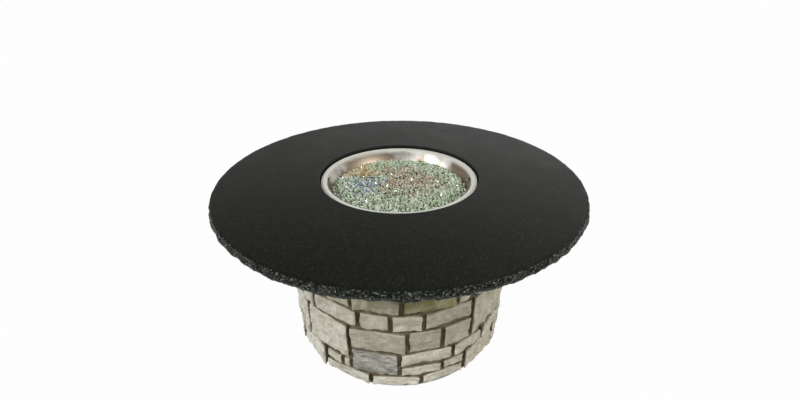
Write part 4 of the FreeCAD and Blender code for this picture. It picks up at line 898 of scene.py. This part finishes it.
# Granite top: a slab sawn 30 mm thick, satin-polished on top, with its edge broken off all
# round by a pitching chisel, which leaves shallow scallops and bright crystal faces.
SLAB_STEPS = 1200
EDGE_ROWS = 11
slab_low, slab_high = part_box("granite_top")
OPENING_RADIUS = 0.2735
OPENING_EASE = 0.0015
FLAT_RADII = (0.4, 0.55, 0.597)
LOW_RADIUS = 0.603
HIGH_RADII = (0.606, 0.602)
ARRIS_RADIUS = 0.6095
EDGE_RADIUS = 0.6165
PITCH_START = 0.6025
PITCH_FULL = 0.006
ARRIS_PITCH = 0.25
ARRIS_DEPTH = 0.009
SCALLOP_SIZE = 0.034
SCALLOP_DEPTH = 0.006
WAVE_SIZE = 0.05
WAVE_DEPTH = 0.003
SPALL_SIZE = 0.009
SPALL_DEPTH = 0.0028
PITCH_MIDDLE = 0.75
BROKEN_FROM = 0.6055
SHARP_ANGLE = 28
low, high = slab_low.z, slab_high.z
half_thick = (high - low) / 2
profile = [(radius, low) for radius in (OPENING_RADIUS, *FLAT_RADII, LOW_RADIUS)]
for step in range(EDGE_ROWS + 1):
    height = low + (high - low) * step / EDGE_ROWS
    level = (height - low - half_thick) / half_thick
    profile.append((ARRIS_RADIUS + (EDGE_RADIUS - ARRIS_RADIUS) * (1 - level * level), height))
profile += [(radius, high) for radius in (*HIGH_RADII, *reversed(FLAT_RADII))]
profile += [(OPENING_RADIUS + OPENING_EASE, high), (OPENING_RADIUS, high - OPENING_EASE)]
slab = turned("pitched_granite_top", profile, SLAB_STEPS)
bpy.ops.mesh.select_all(action="SELECT")
bpy.ops.mesh.select_mode(type="EDGE")
bpy.ops.mesh.select_all(action="DESELECT")
bpy.ops.mesh.select_non_manifold()
bpy.ops.mesh.bridge_edge_loops()
bpy.ops.mesh.select_all(action="SELECT")
bpy.ops.mesh.normals_make_consistent(inside=False)
bpy.ops.object.mode_set(mode="OBJECT")
pitched = slab.vertex_groups.new(name="pitched")
for vertex in slab.data.vertices:
    reach = math.hypot(vertex.co.x, vertex.co.y)
    outward = max(0.0, (reach - PITCH_START) / PITCH_FULL)
    weight = min(1.0, outward, ARRIS_PITCH + (high - vertex.co.z) / ARRIS_DEPTH)
    if weight > 0:
        pitched.add([vertex.index], weight, "ADD")
displace(slab, "VORONOI", SCALLOP_SIZE, SCALLOP_DEPTH, PITCH_MIDDLE, "pitched")
displace(slab, "CLOUDS", WAVE_SIZE, WAVE_DEPTH, PITCH_MIDDLE, "pitched")
displace(slab, "VORONOI", SPALL_SIZE, SPALL_DEPTH, PITCH_MIDDLE, "pitched")
bpy.ops.object.mode_set(mode="EDIT")
bpy.ops.mesh.select_mode(type="VERT")
bpy.ops.mesh.select_all(action="DESELECT")
bpy.ops.object.mode_set(mode="OBJECT")
for vertex in slab.data.vertices:
    vertex.select = vertex.co.z > high
bpy.ops.object.mode_set(mode="EDIT")
bpy.ops.transform.resize(value=(1, 1, 0), center_override=(0, 0, high))
bpy.ops.object.mode_set(mode="OBJECT")

# Finish of the granite: near-black with grey-green crystals about 2.5 mm across; the satin
# polish mirrors the sky weakly, and the broken edge is grey with pale crystal faces, drawn 3.6 mm
# wide so that they show, which are partly the stone's own grey and partly a painted glint
CRYSTAL = 0.0025
BROKEN_CRYSTAL = 0.0036
POLISH_CLOUD = 0.111
for label in ("satin", "pitched"):
    granite, tree = new_material(label + " black granite")
    place = add_node(tree, "TexCoord")
    crystals = add_node(
        tree, "TexVoronoi", {"Scale": 1 / CRYSTAL}, {"Vector": place.outputs["Object"]}
    )
    pick = add_node(tree, "SeparateColor", {}, {0: crystals.outputs["Color"]})
    clouds = add_node(
        tree,
        "TexNoise",
        {"Scale": 1 / POLISH_CLOUD, "Detail": 8.0, "Roughness": 0.6},
        {"Vector": place.outputs["Object"]},
    )
    shade = add_node(tree, "ValToRGB", {}, {0: pick.outputs[0]})
    if label == "satin":
        set_ramp(shade, [(0.0, "0a0c09"), (0.6, "10120e"), (0.92, "191c17"), (1.0, "30342c")])
        rough = add_node(
            tree,
            "MapRange",
            {"From Min": 0.3, "From Max": 0.7, "To Min": 0.28, "To Max": 0.38},
            {"Value": clouds.outputs["Fac"]},
        )
        shader = add_node(
            tree,
            "BsdfPrincipled",
            {"Specular IOR Level": 0.25, "Specular Tint": linear("eef4e0")},
            {"Base Color": shade.outputs[0], "Roughness": rough.outputs[0]},
        )
    else:
        crystals.inputs["Scale"].default_value = 1 / BROKEN_CRYSTAL
        # Broken edge colours: the pale crystal faces are partly the stone's own grey and partly a
        # painted glint.
        set_ramp(
            shade,
            [
                (0.0, "060705"),
                (0.35, "141712"),
                (0.65, "2a2d27"),
                (0.88, "484b44"),
                (1.0, "6b6e65"),
            ],
        )
        bump = add_node(
            tree, "Bump", {"Strength": 1.0, "Distance": 0.0012}, {"Height": pick.outputs[1]}
        )
        shader = add_node(
            tree,
            "BsdfPrincipled",
            {"Roughness": 0.45, "Specular IOR Level": 0.08},
            {"Base Color": shade.outputs[0], "Normal": bump.outputs[0]},
        )
    end_material(tree, shader)
    slab.data.materials.append(granite)
for face in slab.data.polygons:
    reach = math.hypot(face.center.x, face.center.y)
    face.material_index = 1 if reach > BROKEN_FROM else 0
bpy.ops.object.select_all(action="DESELECT")
slab.select_set(True)
bpy.context.view_layer.objects.active = slab
bpy.ops.object.shade_smooth_by_angle(angle=math.radians(SHARP_ANGLE))
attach(slab, "table")
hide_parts("granite_top")


# Burner pan: spun from 1.5 mm stainless sheet, which leaves fine turning lines round it. The
# flange is linished dull and bright, and the bowl below it is tinted brown in clouds, partly heat
# tint and partly a painted dark reflection.
BOWL_TOP = 0.598
CHANGE_DEPTH = 0.012
TURNING_LINE = 0.00143
# Clouds of the bowl's brown tint, partly heat tint and partly painted dark reflection.
HEAT_AND_REFLECTION_CLOUD = 0.111


def spun_steel(name, colour, heat_and_reflection_tint, rough_low, rough_high, change_height):
    """Stainless steel with fine lines round the middle, drawn 1.4 mm apart so that they show.

    Well below the change height it is tinted in clouds and has the low roughness, and above that
    height it is plain and has the high one.
    """
    material, tree = new_material(name)
    place = add_node(tree, "TexCoord")
    split = add_node(tree, "SeparateXYZ", {}, {0: place.outputs["Object"]})
    level = add_node(tree, "CombineXYZ", {}, {0: split.outputs[0], 1: split.outputs[1]})
    reach = add_node(tree, "VectorMath", {"operation": "LENGTH"}, {0: level.outputs[0]})
    ring = add_node(tree, "CombineXYZ", {}, {0: reach.outputs["Value"], 2: split.outputs[2]})
    lines = add_node(
        tree, "TexNoise", {"Scale": 1 / TURNING_LINE, "Detail": 3.0}, {"Vector": ring.outputs[0]}
    )
    heat_and_reflection_blush = add_node(
        tree,
        "TexNoise",
        {"Scale": 1 / HEAT_AND_REFLECTION_CLOUD, "Detail": 3.0},
        {"Vector": place.outputs["Object"]},
    )
    below = add_node(
        tree,
        "MapRange",
        {
            "From Min": change_height - CHANGE_DEPTH,
            "From Max": change_height,
            "To Min": 1.0,
            "To Max": 0.0,
        },
        {"Value": split.outputs[2]},
    )
    # Tinted share below the change height: on the pan's bowl, a painted dark reflection as well as
    # heat tint.
    tint_and_reflection_share = add_node(
        tree,
        "MapRange",
        {"From Min": 0.34, "From Max": 0.5, "To Min": 0.0},
        {"Value": heat_and_reflection_blush.outputs["Fac"], "To Max": below.outputs[0]},
    )
    shade = add_node(
        tree,
        "Mix",
        {"data_type": "RGBA", 6: linear(colour), 7: linear(heat_and_reflection_tint)},
        {0: tint_and_reflection_share.outputs[0]},
    )
    base = add_node(
        tree, "MapRange", {"To Min": rough_high, "To Max": rough_low}, {"Value": below.outputs[0]}
    )
    rough = add_node(
        tree,
        "Math",
        {"operation": "MULTIPLY_ADD", 1: 0.15},
        {0: heat_and_reflection_blush.outputs["Fac"], 2: base.outputs[0]},
    )
    bump = add_node(
        tree, "Bump", {"Strength": 0.12, "Distance": 0.0003}, {"Height": lines.outputs["Fac"]}
    )
    shader = add_node(
        tree,
        "BsdfPrincipled",
        {"Metallic": 1.0},
        {"Base Color": shade.outputs[2], "Roughness": rough.outputs[0], "Normal": bump.outputs[0]},
    )
    end_material(tree, shader)
    return material


# The brown tint of the bowl is partly heat tint and partly a painted dark reflection of the room in
# front.
pan_steel = spun_steel("spun stainless steel", "e6e5df", "928474", 0.38, 0.8, BOWL_TOP)
finish(pan_steel, "burner_pan")


# Burner parts in the bowl: a bent ring of stainless tube, a folded bracket, a glazed ceramic
# insulator and a drawn copper sensor tube. The control panel, its screws and the door's pull are
# of the same brushed steel.
brushed = spun_steel("brushed stainless steel", "c3c2be", "b9b7b2", 0.25, 0.25, 0)
finish(brushed, "burner_ring", "pilot_bracket", "control_panel", "panel_screws", "door_pull")
fired, tree = new_material("glazed ceramic")
place = add_node(tree, "TexCoord")
CRACKLE = 0.0029
crackle = add_node(
    tree, "TexNoise", {"Scale": 1 / CRACKLE, "Detail": 3.0}, {"Vector": place.outputs["Object"]}
)
shade = add_node(tree, "ValToRGB", {}, {0: crackle.outputs["Fac"]})
set_ramp(shade, [(0.3, "d9d5c8"), (0.7, "ece9df")])
shader = add_node(
    tree,
    "BsdfPrincipled",
    {"Roughness": 0.25, "Coat Weight": 0.3},
    {"Base Color": shade.outputs[0]},
)
end_material(tree, shader)
finish(fired, "igniter_electrode")

copper, tree = new_material("drawn copper")
place = add_node(tree, "TexCoord")
COPPER_TARNISH = 0.011
tarnish = add_node(
    tree,
    "TexNoise",
    {"Scale": 1 / COPPER_TARNISH, "Detail": 5.0},
    {"Vector": place.outputs["Object"]},
)
shade = add_node(tree, "ValToRGB", {}, {0: tarnish.outputs["Fac"]})
set_ramp(shade, [(0.3, "8a5a3e"), (0.7, "c58661")])
shader = add_node(
    tree,
    "BsdfPrincipled",
    {"Metallic": 1.0, "Roughness": 0.35},
    {"Base Color": shade.outputs[0]},
)
end_material(tree, shader)
finish(copper, "thermocouple")
hoses["thermocouple_lead"].data.materials.append(copper)


# Fire glass: a few kilograms of tempered glass crumbs, about 9 to 16 mm across, poured into the
# bowl and heaped a little in the middle. The bed is one piece, and two layers of loose crumbs lie
# on its uneven top; clear and sea-green crumbs are mixed, with some amber ones.
CRUMB_PITCH = 0.0092
BED_STEPS = 128
BED_RADIUS = 0.2335
BED_EDGE = 0.566
BED_DOME = 0.005
BED_BELOW = 0.011
BED_UNDERSIDE = [(0.15, 0.509), (0.21, 0.5335), (BED_RADIUS - 0.001, BED_EDGE - 0.008)]
BED_RINGS = (0.9, 0.75, 0.6, 0.45, 0.3, 0.15, 0.02)
HEAP_LOWEST = BED_EDGE - 0.009
CRUMB_RADIUS = 0.0062
CRUMB_LENGTH = 1.15
CRUMB_WIDTHS = (0.75, 1.0)
CRUMB_HEIGHTS = (0.55, 0.8)
CRUMB_SIZES = (0.7, 1.15)
CRUMB_TURN = 3
CRUMB_JAGS = 0.0018
CRUMB_KINDS = 7
CRUMB_STRAY = 0.4
LAYER_DROPS = (0.0085, 0.003)
SETTLING = (-0.0015, 0.002)
TOP_LAYER_GAPS = 0.25
RAGGED_RIM = 0.006
crumbs = random.Random(77)
bed_shape = nodes["fire_glass"].data
bed_faces = BVHTree.FromPolygons(
    [vertex.co for vertex in bed_shape.vertices], [face.vertices for face in bed_shape.polygons]
)


def bed_height(x, y):
    """Height of the top of the glass bed at this place, found from above."""
    found = bed_faces.ray_cast(Vector((x, y, 1)), Vector((0, 0, -1)))[0]
    return found.z if found else 0


dome = [
    (BED_RADIUS * share, BED_EDGE + BED_DOME * (1 - share * share) - BED_BELOW)
    for share in BED_RINGS
]
bed = turned("glass_bed", BED_UNDERSIDE + dome, BED_STEPS)
bpy.ops.mesh.select_all(action="SELECT")
bpy.ops.mesh.select_mode(type="EDGE")
bpy.ops.mesh.select_all(action="DESELECT")
bpy.ops.mesh.select_non_manifold()
bpy.ops.mesh.fill_holes(sides=0)
bpy.ops.mesh.select_all(action="SELECT")
bpy.ops.mesh.normals_make_consistent(inside=False)
bpy.ops.object.mode_set(mode="OBJECT")

crumb_shapes = []
for number in range(CRUMB_KINDS):
    bpy.ops.object.select_all(action="DESELECT")
    bpy.ops.mesh.primitive_ico_sphere_add(subdivisions=1, radius=CRUMB_RADIUS)
    crumb = bpy.context.object
    bpy.ops.object.mode_set(mode="EDIT")
    bpy.ops.mesh.select_all(action="SELECT")
    width, thickness = crumbs.uniform(*CRUMB_WIDTHS), crumbs.uniform(*CRUMB_HEIGHTS)
    bpy.ops.transform.resize(value=(CRUMB_LENGTH, width, thickness))
    bpy.ops.transform.vertex_random(offset=CRUMB_JAGS, uniform=0.5, seed=number)
    bpy.ops.object.mode_set(mode="OBJECT")
    crumb_shapes.append(crumb)

loose = []
rows = int(BED_RADIUS / CRUMB_PITCH) + 1
for layer, drop in enumerate(LAYER_DROPS):
    for row in range(-rows, rows + 1):
        for column in range(-rows, rows + 1):
            x = (column + row % 2 / 2 + crumbs.uniform(-CRUMB_STRAY, CRUMB_STRAY)) * CRUMB_PITCH
            y = (row + crumbs.uniform(-CRUMB_STRAY, CRUMB_STRAY)) * CRUMB_PITCH
            if math.hypot(x, y) > BED_RADIUS - RAGGED_RIM * crumbs.random():
                continue
            if layer and crumbs.random() < TOP_LAYER_GAPS:
                continue
            top = bed_height(x, y)
            if top < HEAP_LOWEST:
                continue
            shape = crumbs.choice(crumb_shapes)
            copy = bpy.data.objects.new("crumb", shape.data.copy())
            size = crumbs.uniform(*CRUMB_SIZES)
            turn = [crumbs.uniform(-CRUMB_TURN, CRUMB_TURN) for _ in range(3)]
            height = top - drop + crumbs.uniform(*SETTLING)
            spin = Matrix.Rotation(turn[0], 4, "X") @ Matrix.Rotation(turn[1], 4, "Y")
            spin = spin @ Matrix.Rotation(turn[2], 4, "Z")
            copy.data.transform(Matrix.Translation((x, y, height)) @ spin @ Matrix.Scale(size, 4))
            set_attribute(copy, "chip", "FLOAT", crumbs.random())
            bpy.context.scene.collection.objects.link(copy)
            loose.append(copy)
for crumb in crumb_shapes:
    bpy.data.objects.remove(crumb)
chips = join_pieces(loose, "fire_glass_crumbs")

# Finish of the crumbs: tempered soda glass with its green edge tint. Amber crumbs are mixed in
# behind the middle and along the left rim, smoky blue ones on the left, and green ones in front;
# every crumb has its own depth of colour.
WANDER = 0.0714
STRAY = 0.16
REDRAW = 53.7
PATCH_FADE = 0.07
PATCH_SHARE = 0.8
PATCHES = (
    # middle of the patch before it strays, its reach, colours of its crumbs
    (
        (0.11, 0.115, 0.57),
        0.075,
        [(0.0, "a4947a"), (0.4, "d0c3a8"), (0.7, "bfb7a5"), (1.0, "efe9dd")],
    ),
    ((-0.07, 0.2, 0.57), 0.04, [(0.0, "b2976a"), (0.5, "d6c194"), (1.0, "ecdfc2")]),
    ((-0.04, 0.075, 0.57), 0.02, [(0.0, "8a9a9f"), (0.5, "adbabd"), (1.0, "dfe6e6")]),
)
glass, tree = new_material("tempered glass")
place = add_node(tree, "TexCoord")
chip = add_node(tree, "Attribute", {"attribute_name": "chip"})
wander = add_node(
    tree, "TexNoise", {"Scale": 1 / WANDER, "Detail": 3.0}, {"Vector": place.outputs["Object"]}
)
strayed = add_node(
    tree,
    "VectorMath",
    {"operation": "MULTIPLY_ADD", 1: (STRAY, STRAY, 0)},
    {0: wander.outputs["Color"], 2: place.outputs["Object"]},
)
spread_out = add_node(tree, "Math", {"operation": "MULTIPLY", 1: REDRAW}, {0: chip.outputs["Fac"]})
draw = add_node(tree, "Math", {"operation": "FRACT"}, {0: spread_out.outputs[0]})
greens = add_node(tree, "ValToRGB", {}, {0: chip.outputs["Fac"]})
set_ramp(
    greens,
    [(0.0, "82987a"), (0.22, "bccbae"), (0.5, "dde6d0"), (0.78, "b7c8aa"), (1.0, "f6faf0")],
)
colour = greens.outputs[0]
for middle, spread, stops in PATCHES:
    away = add_node(
        tree, "VectorMath", {"operation": "DISTANCE", 1: middle}, {0: strayed.outputs[0]}
    )
    within = add_node(
        tree,
        "MapRange",
        {"From Min": spread, "From Max": spread + PATCH_FADE, "To Min": PATCH_SHARE, "To Max": 0.0},
        {"Value": away.outputs["Value"]},
    )
    mixed_in = add_node(
        tree, "Math", {"operation": "LESS_THAN"}, {0: draw.outputs[0], 1: within.outputs[0]}
    )
    patch = add_node(tree, "ValToRGB", {}, {0: chip.outputs["Fac"]})
    set_ramp(patch, stops)
    mixed = add_node(
        tree, "Mix", {"data_type": "RGBA"}, {0: mixed_in.outputs[0], 6: colour, 7: patch.outputs[0]}
    )
    colour = mixed.outputs[2]
shader = add_node(
    tree,
    "BsdfPrincipled",
    {"Roughness": 0.05, "IOR": 1.5, "Transmission Weight": 0.3},
    {"Base Color": colour},
)
end_material(tree, shader)
chips.data.materials.clear()
chips.data.materials.append(glass)
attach(chips, "table")
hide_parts("fire_glass")

# Finish of the bed below them: the same glass in depth, as cells the size of a crumb
deeper, tree = new_material("tempered glass in depth")
place = add_node(tree, "TexCoord")
DEEP_CRUMB = 0.0091
cells = add_node(tree, "TexVoronoi", {"Scale": 1 / DEEP_CRUMB}, {"Vector": place.outputs["Object"]})
grey = add_node(tree, "SeparateColor", {}, {0: cells.outputs["Color"]})
shade = add_node(tree, "ValToRGB", {}, {0: grey.outputs[0]})
set_ramp(shade, [(0.0, "6f7d69"), (0.6, "9aa893"), (1.0, "cbd4c2")])
shader = add_node(tree, "BsdfPrincipled", {"Roughness": 0.2}, {"Base Color": shade.outputs[0]})
end_material(tree, shader)
bed.data.materials.append(deeper)
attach(bed, "table")
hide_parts("fire_glass")


# Access door, its frame and hinges, and the vents: folded steel sheet with black powder coat,
# which has a fine orange-peel skin. The door hangs on two barrel hinges, and the vents are set in
# the wall.
coat, tree = new_material("black powder coat")
place = add_node(tree, "TexCoord")
PEEL = 0.002
peel = add_node(
    tree, "TexNoise", {"Scale": 1 / PEEL, "Detail": 2.0}, {"Vector": place.outputs["Object"]}
)
shade = add_node(tree, "ValToRGB", {}, {0: peel.outputs["Fac"]})
set_ramp(shade, [(0.3, "1d1d1c"), (0.7, "272726")])
bump = add_node(
    tree, "Bump", {"Strength": 0.25, "Distance": 0.0004}, {"Height": peel.outputs["Fac"]}
)
shader = add_node(
    tree,
    "BsdfPrincipled",
    {"Roughness": 0.45},
    {"Base Color": shade.outputs[0], "Normal": bump.outputs[0]},
)
end_material(tree, shader)
finish(
    coat,
    "door_frame",
    "access_door",
    "hinge_frame_halves",
    "hinge_door_halves",
    "vent_left",
    "vent_right",
)


# Gas fittings: valves, nuts, elbow and air mixer machined from brass and dulled by handling. The
# inlet nipple is black iron pipe, set in the mortar low in the back wall.
brass, tree = new_material("machined brass")
place = add_node(tree, "TexCoord")
BRASS_TARNISH = 0.014
tarnish = add_node(
    tree,
    "TexNoise",
    {"Scale": 1 / BRASS_TARNISH, "Detail": 5.0},
    {"Vector": place.outputs["Object"]},
)
shade = add_node(tree, "ValToRGB", {}, {0: tarnish.outputs["Fac"]})
set_ramp(shade, [(0.3, "a38448"), (0.7, "cdb06b")])
shader = add_node(
    tree,
    "BsdfPrincipled",
    {"Metallic": 1.0, "Roughness": 0.32},
    {"Base Color": shade.outputs[0]},
)
end_material(tree, shader)
finish(
    brass,
    "control_valve",
    "valve_plunger",
    "valve_stem",
    "burner_locknut",
    "air_mixer",
    "orifice_elbow",
    "shutoff_valve",
    "flare_nuts",
)

iron, tree = new_material("black iron pipe")
place = add_node(tree, "TexCoord")
MILL_SCALE = 0.00625
scale_marks = add_node(
    tree,
    "TexNoise",
    {"Scale": 1 / MILL_SCALE, "Detail": 6.0},
    {"Vector": place.outputs["Object"]},
)
shade = add_node(tree, "ValToRGB", {}, {0: scale_marks.outputs["Fac"]})
set_ramp(shade, [(0.35, "2b2a29"), (0.75, "4a423b")])
shader = add_node(
    tree,
    "BsdfPrincipled",
    {"Metallic": 0.6, "Roughness": 0.5},
    {"Base Color": shade.outputs[0]},
)
end_material(tree, shader)
finish(iron, "inlet_nipple")


# Springs and hinge pins: the springs are wound from drawn spring steel and the pins cut from it,
# bright with a trace of oil. The pins sit in the barrels of the hinges.
spring, tree = new_material("drawn spring steel")
place = add_node(tree, "TexCoord")
DRAW_LINE = 0.0025
draw_lines = add_node(
    tree, "TexNoise", {"Scale": 1 / DRAW_LINE, "Detail": 3.0}, {"Vector": place.outputs["Object"]}
)
rough = add_node(
    tree, "MapRange", {"To Min": 0.22, "To Max": 0.4}, {"Value": draw_lines.outputs["Fac"]}
)
shader = add_node(
    tree,
    "BsdfPrincipled",
    {"Base Color": linear("a9a9a7"), "Metallic": 1.0},
    {"Roughness": rough.outputs[0]},
)
end_material(tree, shader)
finish(spring, "valve_spring", "igniter_spring", "hinge_pins")


# Moulded plastic: the knob, the spark generator and the door catch are black nylon with a
# fine spark-eroded texture, and the button and the shut-off lever are red.
EROSION = 0.0011
NYLON_PIECES = (
    # name, dark and light tone, roughness, pieces
    (
        "moulded black nylon",
        "1a1a1a",
        "242423",
        0.5,
        ("control_knob", "igniter_module", "magnetic_catch"),
    ),
    ("moulded red nylon", "9c1f1a", "b02a22", 0.38, ("igniter_button", "shutoff_lever")),
)
for label, dark, light, rough_value, names in NYLON_PIECES:
    nylon, tree = new_material(label)
    place = add_node(tree, "TexCoord")
    erosion = add_node(
        tree,
        "TexNoise",
        {"Scale": 1 / EROSION, "Detail": 2.0},
        {"Vector": place.outputs["Object"]},
    )
    shade = add_node(tree, "ValToRGB", {}, {0: erosion.outputs["Fac"]})
    set_ramp(shade, [(0.3, dark), (0.7, light)])
    bump = add_node(
        tree, "Bump", {"Strength": 0.3, "Distance": 0.0002}, {"Height": erosion.outputs["Fac"]}
    )
    shader = add_node(
        tree,
        "BsdfPrincipled",
        {"Roughness": rough_value},
        {"Base Color": shade.outputs[0], "Normal": bump.outputs[0]},
    )
    end_material(tree, shader)
    finish(nylon, *names)
